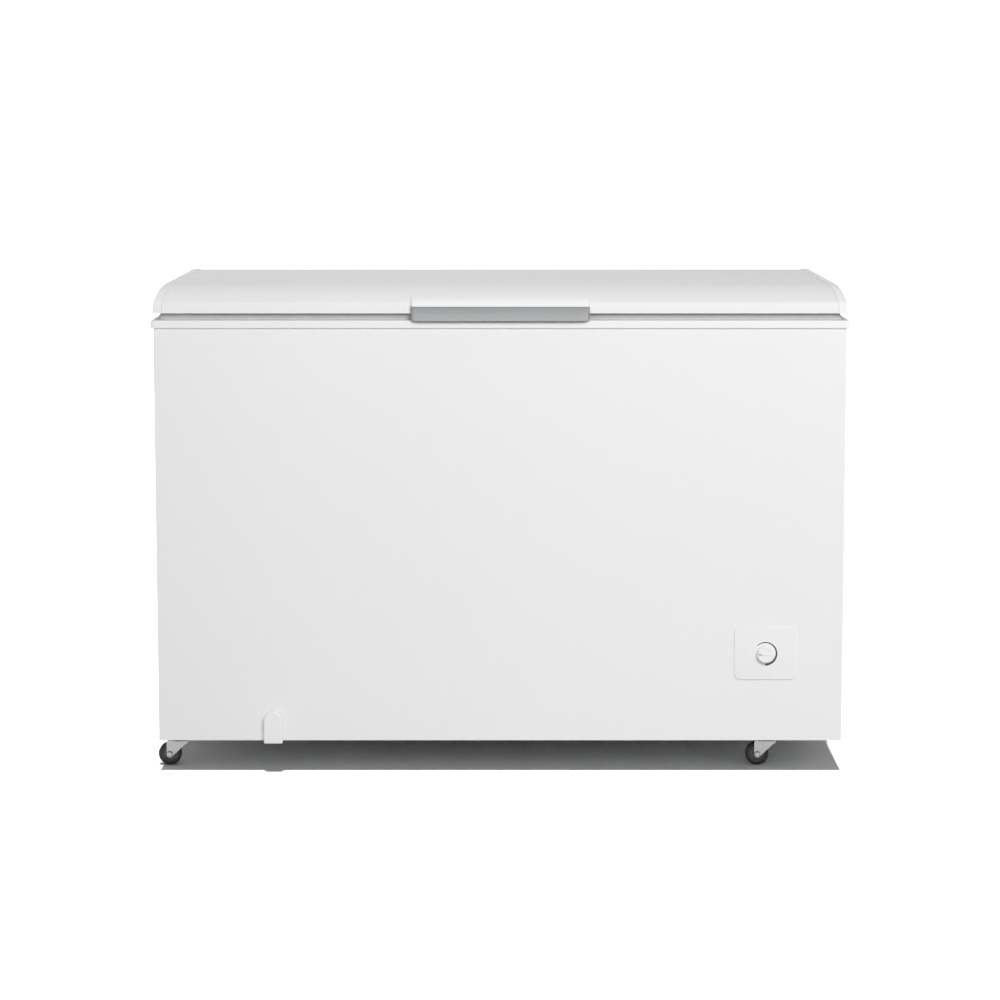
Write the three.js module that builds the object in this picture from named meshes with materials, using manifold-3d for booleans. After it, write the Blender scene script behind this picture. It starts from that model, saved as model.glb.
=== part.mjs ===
// Chest freezer: a foamed steel cabinet on four swivel castors, closed by one hinged, insulated lid.
// Millimetres, +Z up. The origin is on the floor under the middle of the freezer, and the front faces -Y.
import * as THREE from 'three';
import { mergeVertices } from 'three/addons/utils/BufferGeometryUtils.js';
import Module from 'manifold-3d';

// ---------------------------------------------------------------- driving dimensions

// Clearances and sheet
const gap = 0.3; // between pieces that touch
const sheet = 1; // steel and aluminium sheet

// Cabinet
const cabinetWidth = 1320;
const cabinetDepth = 660;
const cabinetHeight = 814; // underside to the top of the collar
const cabinetCorner = 4; // bend radius of the upright edges
const wallInsulation = 65; // outer skin to the liner's inner face
const floorInsulation = 70;
const tankCorner = 25; // liner's upright corners
const linerFlange = 12;

// Collar that caps the cabinet's top edge
const collarHeight = 15;
const collarProud = 5;
const collarWall = 4;
const collarChamfer = 3;
const collarLipDepth = 26; // inner lip, below the collar's top
const collarLipWall = 2;

// Compressor compartment, at the right
const compartmentWidth = 260;
const compartmentHeight = 238;
const trayThickness = 2;

// Lid
const lidGap = 13.5; // collar to lid, filled by the gasket
const lidHeight = 43.5; // lid's underside to its flat top
const lidFaceHeight = 18.5; // upright front face
const lidSlopeDepth = 185; // front face to where the top turns flat
const lidFrontProud = 3;
const lidRearProud = 5;
const lidNose = 10; // rounding of the crease over the front face
const lidBackRound = 12;
const lidPlugInset = 14; // lid's inner tray, inside the liner's opening
const lidPlugDepth = 10; // how far the tray drops below the collar's top
const lidPlugCorner = 22;
const lidLinerWall = 2;
const endCapWidth = 17.5;
const endCapProud = 1.2;
const endCapWall = 3;
const gasketInset = 9;
const gasketWidth = 18;
const gasketCorner = 8;

// Handle
const handleLength = 340;
const handleReach = 18; // grip's front, ahead of the cabinet's front
const handleWall = 3;
const legClearance = 1.3; // grip's legs to the collar
const gripHeight = 26.8;
const gripDrop = 13.9; // below the lid's underside
const handleEndRound = 17;
const handleRun = 37; // how far the upper moulding runs back over the lid
const handleSkin = 2.6; // its height over the lid's top
const handleEndDepth = 0.76; // depth of a front corner as a share of its width
const browRise = 5; // upright start of the moulding's front
const browRun = 13; // where its curve meets the lid, behind the lid's front
const browHeight = 6; // and above the crease

// Hinges
const hingeReach = 22; // behind the cabinet's rear
const hingeSpread = 860; // between the two hinges
const knuckleRadius = 8;
const knuckleLength = 30;
const outerKnuckleLength = 15;
const hingePinRadius = 3;
const leafWidth = 70;
const leafThickness = 3;
const bodyLeafHeight = 88;
const lidLeafHeight = 29;
const lidLeafRise = 1; // lid leaf, above the knuckle
const webClearance = 2; // below the collar
const pinHeadRadius = 5;
const pinHeadHeight = 2;

// Castors
const castorInsetLeft = 32;
const castorInsetRight = 141;
const castorInsetFront = 60;
const castorInsetRear = 60;
const wheelRadius = 22.5;
const wheelWidth = 18;
const wheelSides = 24;
const castorTrail = 17.5; // swivel axis to axle
const castorPlateThickness = 2.5;
const castorPlateLength = 46;
const castorPlateWidth = 40;
const castorPlateCorner = 5;
const raceRadius = 15;
const raceHeight = 7.9; // between the crown and the top plate
const crownRadius = 22;
const crownThickness = 2.5;
const crownClearance = 3.5; // over the wheel
const kingpinRadius = 4;
const rivetHeadRadius = 7;
const axleRadius = 4;
const axleHeadRadius = 6;
const forkSideClearance = 1;
const forkPlate = 2;
const forkTipRadius = 7.5;

// Thermostat control, low on the front at the right
const controlFromRight = 150;
const controlHeight = 171; // above the cabinet's underside
const controlPlateWidth = 120;
const controlPlateHeight = 103;
const controlPlateThickness = 2.5;
const controlPlateCorner = 13;
const controlPlateEdge = 0.8; // rounding of its front edge
const knobRadius = 16.5;
const knobDepth = 11;
const knobEdge = 1.6; // rounding of its rims
const knobClearance = 0.5; // to the plate
const knobFaceWall = 3; // in front of the spindle
const knobPointerLength = 9;
const knobPointerWidth = 1.6;
const knobPointerDepth = 0.8;
const spindleRadius = 3;
const spindleClearance = 2; // in the skin and the plate
const thermostatSize = new THREE.Vector3(44, 26, 34);

// Drain, low on the front at the left
const drainFromLeft = 222;
const drainHeight = 30; // outlet, above the cabinet's underside
const drainSetback = 42; // floor hole, behind the liner's front wall
const drainTubeRadius = 8;
const drainTubeBore = 6;
const drainBend = 18;
const drainSides = 12;
const drainCapWidth = 36.5;
const drainCapHeight = 63;
const drainCapDrop = 4.5; // below the cabinet's underside
const drainCapDepth = 13;
const drainCapWall = 2.2;
const drainCapEdge = 1.5; // rounding of its front edge
const drainCapStub = 8; // how far it reaches into the tube
const drainPlugRadius = 15;
const drainPlugHead = 4;
const drainPlugStem = 14;

// Ventilation
const grilleWidth = 256;
const grilleHeight = 182;
const grilleFoot = 14; // above the cabinet's underside
const grilleProud = 1.5;
const grilleRimProud = 4;
const grilleRimHeight = 17;
const grilleBorder = 14;
const grilleCorner = 6;
const grilleSlotHeight = 6;
const grilleSlotPitch = 15;
const grilleSlotEnd = 20; // plain stretch past the slots' outer ends
const grilleMullion = 12; // between the two columns of slots
const serviceMargin = 24; // rear window, inside the compartment
const serviceOverlap = 12;
const coverThickness = 2;
const coverCorner = 8;
const coverSlotWidth = 50;
const coverSlotHeight = 6;
const coverSlotPitchX = 64;
const coverSlotPitchZ = 16;
const coverSlotInset = 14;
const coverSlotFoot = 52; // first row, above the rear window's lower edge
const glandRadius = 11;
const glandNeckRadius = 8;
const glandBore = 4;
const glandFlange = 4;
const glandSnout = 5; // past the flange
const glandInset = 26; // from the rear window's left edge
const glandRise = 22; // above the rear window's lower edge

// Refrigeration circuit
const evaporatorRadius = 4;
const evaporatorTurns = 4;
const evaporatorPitch = 90;
const evaporatorRise = 130; // first turn, above the compartment
const evaporatorInset = 62; // feed pipe, behind the cabinet's middle
const evaporatorGap = 80; // between the feed and the return
const suctionSetOut = 26; // return pipe, outside the coil
const condenserRadius = 3;
const condenserPasses = 4;
const condenserPitch = 100;
const condenserRise = 118;
const condenserSetback = 98; // first upright run, ahead of the cabinet's rear
const condenserGap = 60; // between the two upright runs
const pipeExit = 15; // pipe ends, below the compartment's roof
const pipeBend = 26;
const compressorRadiusX = 78;
const compressorRadiusY = 100;
const compressorHeight = 165;
const compressorFootThickness = 3;
const compressorFootMargin = 6;
const compressorFootCorner = 16;
const compressorSetback = 38; // shell to the rear panel
const weldFlangeWidth = 4;
const suctionShare = 0.7; // height of each pipe on the shell
const dischargeShare = 0.55;
const terminalSize = new THREE.Vector3(32, 64, 72);
const terminalRise = 24; // above the compressor's foot
const grommetHeight = 18;
const grommetRadius = 11;
const grommetInsetX = 8;
const grommetInsetY = 12;
const traySlotLength = 120;
const traySlotWidth = 12;
const traySlotPitch = 40;
const traySlotMiddle = 60; // middle slot, ahead of the cabinet's middle
const drierRadius = 9;
const drierLength = 80;
const drierShoulder = 8;
const drierInset = 16; // from the condenser's return pipe
const drierDrop = 45; // its top, below the pipe ends
const drierInletRadius = 2.5;
const capillaryRadius = 1.5;
const capillaryDrop = 20; // below the drier
const bulbRadius = 2; // thermostat's sensing tube
const bulbRise = 30; // crossing to the tank, above the compartment
const bulbLength = 70; // stretch that lies against the tank

// ---------------------------------------------------------------- worked-out planes

const crownBottom = 2 * wheelRadius + crownClearance;
const crownTop = crownBottom + crownThickness;
const castorPlateTop = crownTop + gap + raceHeight + castorPlateThickness;
const halfWidth = cabinetWidth / 2;
const cabinetFront = -(cabinetDepth + handleReach + hingeReach) / 2 + handleReach;
const cabinetRear = cabinetFront + cabinetDepth;
const cabinetMiddleY = (cabinetFront + cabinetRear) / 2;
const underside = castorPlateTop + gap;
const collarTop = underside + cabinetHeight;
const collarUnder = collarTop - collarWall;
const shellTop = collarUnder - gap;
const insideX = halfWidth - sheet - gap;
const insideFront = cabinetFront + sheet + gap;
const insideRear = cabinetRear - sheet - gap;

const tankX = halfWidth - wallInsulation;
const tankFront = cabinetFront + wallInsulation;
const tankRear = cabinetRear - wallInsulation;
const tankFloor = underside + floorInsulation;
const compartmentX = halfWidth - compartmentWidth;
const compartmentTop = underside + compartmentHeight;
const stepX = compartmentX - wallInsulation;
const stepTop = compartmentTop + wallInsulation;
const trayTop = underside + trayThickness;

const lidBottom = collarTop + lidGap;
const lidTop = lidBottom + lidHeight;
const lidFront = cabinetFront - lidFrontProud;
const lidRear = cabinetRear + lidRearProud;
const skinX = halfWidth - endCapWidth - gap;

const controlX = halfWidth - controlFromRight;
const controlZ = underside + controlHeight;
const drainX = -halfWidth + drainFromLeft;
const drainZ = underside + drainHeight;
const drainY = tankFront + drainSetback;

// ---------------------------------------------------------------- solids

const wasm = await Module();
wasm.setup();

/** A closed three.js geometry as a solid: shared vertices merged, collapsed triangles dropped. */
function toSolid(geometry) {
  const bare = geometry.clone();
  bare.deleteAttribute('normal');
  bare.deleteAttribute('uv');
  const welded = mergeVertices(bare, 1e-4);
  const corners = welded.index.array;
  const kept = [];
  for (let i = 0; i < corners.length; i += 3) {
    const [a, b, c] = corners.slice(i, i + 3);
    if (a !== b && b !== c && c !== a) kept.push(a, b, c);
  }
  const vertProperties = new Float32Array(welded.attributes.position.array);
  return new wasm.Manifold(new wasm.Mesh({ numProp: 3, vertProperties, triVerts: new Uint32Array(kept) }));
}

const join = (first, ...others) => others.reduce((whole, piece) => whole.add(piece), first);
const cut = (first, ...others) => others.reduce((whole, piece) => whole.subtract(piece), first);

/** A named mesh of a solid. */
function piece(name, solid, material) {
  const { vertProperties, triVerts } = solid.getMesh();
  const geometry = new THREE.BufferGeometry();
  geometry.setAttribute('position', new THREE.BufferAttribute(vertProperties, 3));
  geometry.setIndex(new THREE.BufferAttribute(triVerts, 1));
  geometry.computeVertexNormals();
  const mesh = new THREE.Mesh(geometry, material);
  mesh.name = name;
  return mesh;
}

const alongX = new THREE.Vector3(1, 0, 0);
const alongY = new THREE.Vector3(0, 1, 0);
const alongZ = new THREE.Vector3(0, 0, 1);
const drawnAlong = {
  x: new THREE.Matrix4().makeBasis(alongY, alongZ, alongX), // outline in (y, z)
  y: new THREE.Matrix4().makeBasis(alongX, alongZ, alongY.clone().negate()), // outline in (x, z)
  z: new THREE.Matrix4(), // outline in (x, y)
};

/** An outline drawn out along an axis, from low to high, with its two end edges rounded by bevel. */
function prism(axis, outline, low, high, { curveSegments = 3, bevel = 0, bevelSegments = 1 } = {}) {
  const geometry = new THREE.ExtrudeGeometry(outline, {
    depth: high - low - 2 * bevel,
    bevelEnabled: bevel > 0,
    bevelThickness: bevel,
    bevelSize: bevel,
    bevelOffset: -bevel,
    bevelSegments,
    curveSegments,
  });
  geometry.translate(0, 0, bevel);
  geometry.applyMatrix4(drawnAlong[axis]);
  const start = { x: [low, 0, 0], y: [0, high, 0], z: [0, 0, low] }[axis];
  geometry.translate(...start);
  return toSolid(geometry);
}

/** A block between two corners. */
function block(x0, x1, y0, y1, z0, z1) {
  const geometry = new THREE.BoxGeometry(x1 - x0, y1 - y0, z1 - z0);
  geometry.translate((x0 + x1) / 2, (y0 + y1) / 2, (z0 + z1) / 2);
  return toSolid(geometry);
}

/** A round bar along an axis; a and b are its place in the plane across that axis. */
function rod(axis, a, b, radius, low, high, sides = 12) {
  const circle = new THREE.Shape();
  circle.absarc(a, b, radius, 0, 2 * Math.PI);
  return prism(axis, circle, low, high, { curveSegments: sides / 2 });
}

/** A rectangle with round corners, drawn anticlockwise. */
function roundedRect(x0, x1, y0, y1, radius) {
  const quarter = Math.PI / 2;
  const outline = new THREE.Shape();
  outline.absarc(x1 - radius, y0 + radius, radius, -quarter, 0);
  outline.absarc(x1 - radius, y1 - radius, radius, 0, quarter);
  outline.absarc(x0 + radius, y1 - radius, radius, quarter, 2 * quarter);
  outline.absarc(x0 + radius, y0 + radius, radius, 2 * quarter, 3 * quarter);
  return outline;
}

/** A straight-sided outline through the points given. */
const polygon = (points) => new THREE.Shape(points.map(([a, b]) => new THREE.Vector2(a, b)));

/** A profile of [radius, height] points turned about the Z axis. */
function turned(profile, sides) {
  const points = profile.map(([radius, height]) => new THREE.Vector2(radius, height));
  const geometry = new THREE.LatheGeometry(points, sides);
  geometry.rotateX(Math.PI / 2);
  return geometry;
}

/** A pipe's centre line: straight runs between corners, each corner rounded to the bend radius. */
class BentPath extends THREE.Curve {
  constructor(corners, bendRadius, bendSteps) {
    super();
    const places = corners.map((corner) => new THREE.Vector3(...corner));
    this.points = [places[0]];
    for (let i = 1; i < places.length - 1; i += 1) {
      const [before, corner, after] = places.slice(i - 1, i + 2);
      this.points.push(...BentPath.bend(before, corner, after, bendRadius, bendSteps));
    }
    this.points.push(places.at(-1));
  }

  static bend(before, corner, after, bendRadius, bendSteps) {
    const back = before.clone().sub(corner);
    const ahead = after.clone().sub(corner);
    const reach = Math.min(back.length(), ahead.length()) * 0.48;
    back.normalize();
    ahead.normalize();
    const half = back.angleTo(ahead) / 2;
    const radius = Math.min(bendRadius, reach * Math.tan(half));
    const tangent = radius / Math.tan(half);
    const centre = back.clone().add(ahead).normalize().multiplyScalar(radius / Math.sin(half)).add(corner);
    const from = back.multiplyScalar(tangent).add(corner).sub(centre);
    const to = ahead.multiplyScalar(tangent).add(corner).sub(centre);
    const turn = from.angleTo(to);
    return Array.from({ length: bendSteps + 1 }, (_, step) => {
      const share = step / bendSteps;
      const start = from.clone().multiplyScalar(Math.sin((1 - share) * turn) / Math.sin(turn));
      const end = to.clone().multiplyScalar(Math.sin(share * turn) / Math.sin(turn));
      return start.add(end).add(centre);
    });
  }

  getUtoTmapping(u) {
    return u;
  }

  getPoint(t, target = new THREE.Vector3()) {
    const along = t * (this.points.length - 1);
    const run = Math.min(Math.floor(along), this.points.length - 2);
    return target.lerpVectors(this.points[run], this.points[run + 1], along - run);
  }

  getTangent(t, target = new THREE.Vector3()) {
    const at = Math.round(t * (this.points.length - 1));
    const run = (from) => this.points[from + 1].clone().sub(this.points[from]).normalize();
    const before = run(Math.max(at - 1, 0));
    const after = run(Math.min(at, this.points.length - 2));
    return target.addVectors(before, after).normalize();
  }
}

/** A bent pipe of a round section, solid, or hollow where a bore is given. */
function pipe(corners, radius, { bore = 0, bend = pipeBend, sides = 6, bendSteps = 3 } = {}) {
  const path = new BentPath(corners, bend, bendSteps);
  const section = new THREE.Shape();
  section.absarc(0, 0, radius, 0, 2 * Math.PI);
  if (bore > 0) {
    const hole = new THREE.Path();
    hole.absarc(0, 0, bore, 0, 2 * Math.PI, true);
    section.holes.push(hole);
  }
  const settings = { steps: path.points.length - 1, extrudePath: path, bevelEnabled: false };
  return toSolid(new THREE.ExtrudeGeometry(section, { ...settings, curveSegments: sides / 2 }));
}

/** The square channel that a round pipe lies in. */
const channel = (corners, radius) => pipe(corners, (radius + gap) * Math.SQRT2, { sides: 4 });

// ---------------------------------------------------------------- materials

const finish = (color, roughness, metalness = 0) =>
  new THREE.MeshStandardMaterial({ color, roughness, metalness });
const whitePaint = finish(0xf1f1f0, 0.35);
const whitePlastic = finish(0xf4f4f3, 0.3);
const greyPlastic = finish(0xafb0b1, 0.4);
const gasketGrey = finish(0x9fa0a1, 0.8);
const linerWhite = finish(0xe9ecee, 0.4, 0.3);
const galvanised = finish(0xb9bcbe, 0.45, 0.9);
const zincPlate = finish(0xc9cacb, 0.35, 0.9);
const foamYellow = finish(0xe8d9a0, 0.95);
const copper = finish(0xb87346, 0.35, 1);
const compressorBlack = finish(0x1c1c1d, 0.45);
const blackPlastic = finish(0x232324, 0.5);
const blackRubber = finish(0x1e1e1f, 0.8);

const freezer = new THREE.Group();

// ---------------------------------------------------------------- cabinet shell

/** The cabinet's plan outline, grown outwards by a distance. */
function cabinetPlan(grow, radius) {
  return roundedRect(-halfWidth - grow, halfWidth + grow, cabinetFront - grow, cabinetRear + grow, radius);
}

/** The food tank as a solid, grown outwards by a distance: a full-width part over the step, and a well. */
function tank(grow, top) {
  const plan = (right) =>
    roundedRect(-tankX - grow, right + grow, tankFront - grow, tankRear + grow, tankCorner + grow);
  const upper = prism('z', plan(tankX), stepTop - grow, top);
  const well = prism('z', plan(stepX), tankFloor - grow, (stepTop + top) / 2);
  return join(upper, well);
}

/** All that fits inside the outer skin between two heights, its upright edges rounded as the skin's are. */
function insideSkin(low, high) {
  const radius = cabinetCorner - sheet - gap;
  const plan = roundedRect(-insideX, insideX, insideFront, insideRear, radius);
  return prism('z', plan, low, high, { curveSegments: 2 });
}

const grilleFront = cabinetMiddleY - grilleWidth / 2;
const grilleRear = cabinetMiddleY + grilleWidth / 2;
const grilleBottom = underside + grilleFoot;
const grilleTop = grilleBottom + grilleHeight;
const grilleOpeningTop = grilleTop - grilleRimHeight - grilleBorder / 2;

function outerWrapper() {
  const plan = (inset) => {
    const rear = cabinetRear + 2 * cabinetCorner;
    const radius = cabinetCorner - inset;
    return roundedRect(-halfWidth + inset, halfWidth - inset, cabinetFront + inset, rear, radius);
  };
  const skin = cut(
    prism('z', plan(0), underside, shellTop, { curveSegments: 2 }),
    prism('z', plan(sheet), underside - 1, shellTop + 1, { curveSegments: 2 }),
  );
  return cut(
    skin,
    block(-cabinetWidth, cabinetWidth, cabinetRear, cabinetRear + cabinetDepth, 0, collarTop),
    rod('y', controlX, controlZ, spindleRadius + spindleClearance, cabinetFront - 1, cabinetFront + 2),
    rod('y', drainX, drainZ, drainTubeRadius + gap, cabinetFront - 1, cabinetFront + 2),
    block(
      halfWidth - 2,
      halfWidth + 1,
      grilleFront + grilleBorder,
      grilleRear - grilleBorder,
      grilleBottom + grilleBorder,
      grilleOpeningTop,
    ),
  );
}

const serviceLeft = compartmentX + serviceMargin;
const serviceRight = insideX - serviceMargin;
const serviceBottom = underside + serviceMargin;
const serviceTop = compartmentTop - serviceMargin;

function rearPanel() {
  const panel = block(-insideX, insideX, cabinetRear - sheet, cabinetRear, underside, shellTop);
  const window = block(serviceLeft, serviceRight, cabinetRear - 2, cabinetRear + 1, serviceBottom, serviceTop);
  return cut(panel, window);
}

// Routes of the tubes that are foamed into the walls. Each starts and ends under the compartment's roof.
const roofExit = compartmentTop - pipeExit;
const liningOut = sheet + gap + evaporatorRadius;
const evaporatorStartY = cabinetMiddleY + evaporatorInset;
const evaporatorEndY = evaporatorStartY - evaporatorGap;
const evaporatorEndX = tankX + liningOut + suctionSetOut;

function evaporatorRoute() {
  const [left, right] = [-tankX - liningOut, tankX + liningOut];
  const [front, rear] = [tankFront - liningOut, tankRear + liningOut];
  const route = [[right, evaporatorStartY, roofExit]];
  for (let turn = 0; turn < evaporatorTurns; turn += 1) {
    const z = compartmentTop + evaporatorRise + turn * evaporatorPitch;
    route.push([right, turn ? evaporatorEndY : evaporatorStartY, z], [right, rear, z], [left, rear, z]);
    route.push([left, front, z], [right, front, z], [right, evaporatorEndY, z]);
  }
  const top = route.at(-1)[2];
  route.push([evaporatorEndX, evaporatorEndY, top], [evaporatorEndX, evaporatorEndY, roofExit]);
  return route;
}

const condenserX = insideX - condenserRadius;
const condenserStartY = cabinetRear - condenserSetback;
const condenserEndY = condenserStartY + condenserGap;

function condenserRoute() {
  const front = insideFront + condenserRadius;
  const route = [[condenserX, condenserStartY, roofExit]];
  for (let pass = 0; pass < condenserPasses; pass += 1) {
    const z = compartmentTop + condenserRise + pass * condenserPitch;
    const from = pass % 2 ? -condenserX : condenserX;
    const end = pass === condenserPasses - 1 ? condenserEndY : condenserStartY;
    route.push([from, condenserStartY, z], [from, front, z], [-from, front, z], [-from, end, z]);
  }
  route.push([condenserX, condenserEndY, roofExit]);
  return route;
}

const bulbY = insideFront + thermostatSize.y / 2;
const bulbFoot = controlZ + thermostatSize.z / 2;
const bulbRoute = [
  [controlX, bulbY, bulbFoot + gap],
  [controlX, bulbY, compartmentTop + bulbRise],
  [controlX, tankFront - sheet - gap - bulbRadius, compartmentTop + bulbRise],
  [controlX, tankFront - sheet - gap - bulbRadius, compartmentTop + bulbRise + bulbLength],
];
const drainRoute = [
  [drainX, drainY, tankFloor],
  [drainX, drainY, drainZ],
  [drainX, cabinetFront - 2, drainZ],
];

function basePan() {
  const profile = polygon([
    [-insideX, underside],
    [compartmentX, underside],
    [compartmentX, compartmentTop - sheet],
    [insideX, compartmentTop - sheet],
    [insideX, compartmentTop],
    [compartmentX - sheet, compartmentTop],
    [compartmentX - sheet, underside + sheet],
    [-insideX, underside + sheet],
  ]);
  const hole = (x, y, radius) =>
    rod('z', x, y, radius + gap, compartmentTop - 3, compartmentTop + 3);
  return cut(
    prism('y', profile, insideFront, insideRear).intersect(insideSkin(0, collarTop)),
    hole(tankX + liningOut, evaporatorStartY, evaporatorRadius),
    hole(evaporatorEndX, evaporatorEndY, evaporatorRadius),
    hole(condenserX, condenserStartY, condenserRadius),
    hole(condenserX, condenserEndY, condenserRadius),
    hole(controlX, bulbY, bulbRadius),
  );
}

function foamInsulation() {
  const top = shellTop - sheet - gap;
  const belowRoof = compartmentTop + gap;
  const drainChannel = pipe(
    [[drainX, drainY, tankFloor + 5], ...drainRoute.slice(1, 2), [drainX, cabinetFront - 5, drainZ]],
    drainTubeRadius + gap,
    { bend: drainBend, sides: drainSides },
  );
  return cut(
    insideSkin(underside + sheet + gap, top),
    block(compartmentX - sheet - gap, halfWidth, cabinetFront, cabinetRear, 0, belowRoof),
    tank(sheet + gap, top + 1),
    channel(evaporatorRoute(), evaporatorRadius),
    channel(condenserRoute(), condenserRadius),
    channel(bulbRoute, bulbRadius),
    drainChannel,
  );
}

function innerLiner() {
  const reach = sheet + linerFlange;
  const flange = roundedRect(
    -tankX - reach, tankX + reach, tankFront - reach, tankRear + reach, tankCorner + reach,
  );
  return cut(
    join(tank(sheet, shellTop), prism('z', flange, shellTop - sheet, shellTop)),
    tank(0, shellTop + 1),
    rod('z', drainX, drainY, drainTubeRadius + gap, tankFloor - 5, tankFloor + 5),
  );
}

function collarFrame() {
  const bottom = collarTop - collarHeight;
  const lipPlan = (inset) =>
    roundedRect(-tankX + inset, tankX - inset, tankFront + inset, tankRear - inset, tankCorner - inset);
  const rim = prism(
    'z', cabinetPlan(collarProud, cabinetCorner + collarProud), bottom - collarHeight, collarTop,
    { bevel: collarChamfer, bevelSegments: 2 },
  );
  const lip = prism('z', lipPlan(gap), collarTop - collarLipDepth, collarUnder + 1);
  return cut(
    join(
      cut(
        rim,
        block(-cabinetWidth, cabinetWidth, -cabinetDepth, cabinetDepth, 0, bottom),
        prism('z', cabinetPlan(gap, cabinetCorner + gap), 0, collarUnder, { curveSegments: 2 }),
        block(-halfWidth - gap, halfWidth + gap, cabinetMiddleY, cabinetRear + gap, 0, collarUnder),
      ),
      lip,
    ),
    prism('z', lipPlan(gap + collarLipWall), 0, collarTop + 1),
  );
}

freezer.add(
  piece('outer_wrapper', outerWrapper(), whitePaint),
  piece('rear_panel', rearPanel(), galvanised),
  piece('base_pan', basePan(), galvanised),
  piece('foam_insulation', foamInsulation(), foamYellow),
  piece('inner_liner', innerLiner(), linerWhite),
  piece('collar_frame', collarFrame(), whitePlastic),
  piece('evaporator_coil', pipe(evaporatorRoute(), evaporatorRadius), copper),
  piece('condenser_coil', pipe(condenserRoute(), condenserRadius), galvanised),
);

// ---------------------------------------------------------------- compressor compartment

const compressorX = (compartmentX + insideX) / 2;
const compressorY = insideRear - compressorRadiusY - compressorSetback;
const footTop = trayTop + gap + grommetHeight + gap + compressorFootThickness;
const weldFlange = compressorRadiusX + weldFlangeWidth;

function compressorTray() {
  const span = block(compartmentX + gap, halfWidth, cabinetFront, cabinetRear, 0, collarTop);
  const tray = insideSkin(underside, trayTop).intersect(span);
  const [left, right] = [compressorX - traySlotLength / 2, compressorX + traySlotLength / 2];
  const slots = [-1, 0, 1].map((row) => {
    const y = cabinetMiddleY - traySlotMiddle + row * traySlotPitch;
    return block(left, right, y - traySlotWidth / 2, y + traySlotWidth / 2, underside - 1, trayTop + 1);
  });
  return cut(tray, ...slots);
}

/** Two deep-drawn halves welded at a flange round the middle, standing on a foot plate. */
function compressor() {
  const base = footTop - 1;
  const r = compressorRadiusX;
  const h = compressorHeight;
  const shell = turned(
    [
      [0, base], [0.64 * r, base + 2], [0.9 * r, base + 11], [r, base + 31], [r, base + 0.46 * h],
      [weldFlange, base + 0.46 * h + 1], [weldFlange, base + 0.46 * h + 8], [r, base + 0.46 * h + 9],
      [0.985 * r, base + 0.7 * h], [0.9 * r, base + 0.87 * h], [0.58 * r, base + 0.97 * h], [0, base + h],
    ],
    20,
  );
  shell.scale(1, compressorRadiusY / r, 1);
  shell.translate(compressorX, compressorY, 0);
  const [footX, footY] = [r + compressorFootMargin, compressorRadiusY + 2];
  const foot = roundedRect(
    compressorX - footX, compressorX + footX, compressorY - footY, compressorY + footY, compressorFootCorner,
  );
  return join(toSolid(shell), prism('z', foot, footTop - compressorFootThickness, footTop));
}

const shellAt = (share, y) =>
  compressorX + share * compressorRadiusX * Math.sqrt(1 - ((y - compressorY) / compressorRadiusY) ** 2);
const suctionZ = footTop + suctionShare * compressorHeight;
const dischargeZ = footTop + dischargeShare * compressorHeight;
const drierX = condenserX - drierInset;
const drierTop = roofExit - drierDrop;
const drierBottom = drierTop - drierLength;

function suctionPipe() {
  return pipe(
    [
      [evaporatorEndX, evaporatorEndY, roofExit - gap],
      [evaporatorEndX, evaporatorEndY, suctionZ],
      [evaporatorEndX, compressorY, suctionZ],
      [compressorX + compressorRadiusX + 1, compressorY, suctionZ],
    ],
    evaporatorRadius,
  );
}

function dischargePipe() {
  return pipe(
    [
      [shellAt(1, condenserStartY - condenserRadius) + 1, condenserStartY, dischargeZ],
      [condenserX, condenserStartY, dischargeZ],
      [condenserX, condenserStartY, roofExit - gap],
    ],
    condenserRadius,
  );
}

function filterDrier() {
  const body = turned(
    [
      [0, drierBottom], [drierRadius * 0.4, drierBottom], [drierRadius, drierBottom + drierShoulder],
      [drierRadius, drierTop - drierShoulder], [drierRadius * 0.4, drierTop], [0, drierTop],
    ],
    16,
  );
  body.translate(drierX, condenserEndY, 0);
  const crossing = (roofExit + drierTop) / 2;
  const inlet = [
    [condenserX, condenserEndY, roofExit - gap],
    [condenserX, condenserEndY, crossing],
    [drierX, condenserEndY, crossing],
    [drierX, condenserEndY, drierTop - 2],
  ];
  const low = drierBottom - capillaryDrop;
  const outlet = [
    [drierX, condenserEndY, drierBottom + 2],
    [drierX, condenserEndY, low],
    [drierX, evaporatorStartY, low],
    [tankX + liningOut, evaporatorStartY, low],
    [tankX + liningOut, evaporatorStartY, roofExit - gap],
  ];
  return join(
    toSolid(body),
    pipe(inlet, drierInletRadius),
    pipe(outlet, capillaryRadius, { sides: 4, bendSteps: 2 }),
  );
}

function terminalCover() {
  const { x: depth, y: width, z: height } = terminalSize;
  const right = compressorX - weldFlange - gap;
  const foot = footTop + terminalRise;
  const cover = roundedRect(compressorY - width / 2, compressorY + width / 2, foot, foot + height, 8);
  return prism('x', cover, right - depth, right, { curveSegments: 2, bevel: 3 });
}

function sideGrille() {
  const face = halfWidth + gap;
  const outline = roundedRect(grilleFront, grilleRear, grilleBottom, grilleTop, grilleCorner);
  const rim = roundedRect(grilleFront, grilleRear, grilleTop - grilleRimHeight, grilleTop, grilleCorner);
  const columns = [
    [grilleFront + grilleSlotEnd, cabinetMiddleY - grilleMullion / 2],
    [cabinetMiddleY + grilleMullion / 2, grilleRear - grilleSlotEnd],
  ];
  const slots = [];
  const low = grilleBottom + grilleBorder + 4;
  for (let z = low; z + grilleSlotHeight < grilleOpeningTop; z += grilleSlotPitch) {
    for (const [from, to] of columns) {
      slots.push(block(face - 1, face + grilleProud + 1, from, to, z, z + grilleSlotHeight));
    }
  }
  return cut(
    join(prism('x', outline, face, face + grilleProud), prism('x', rim, face, halfWidth + grilleRimProud)),
    ...slots,
  );
}

const coverLow = serviceBottom - serviceOverlap;
const glandX = serviceLeft + glandInset;
const glandZ = serviceBottom + glandRise;

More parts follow.
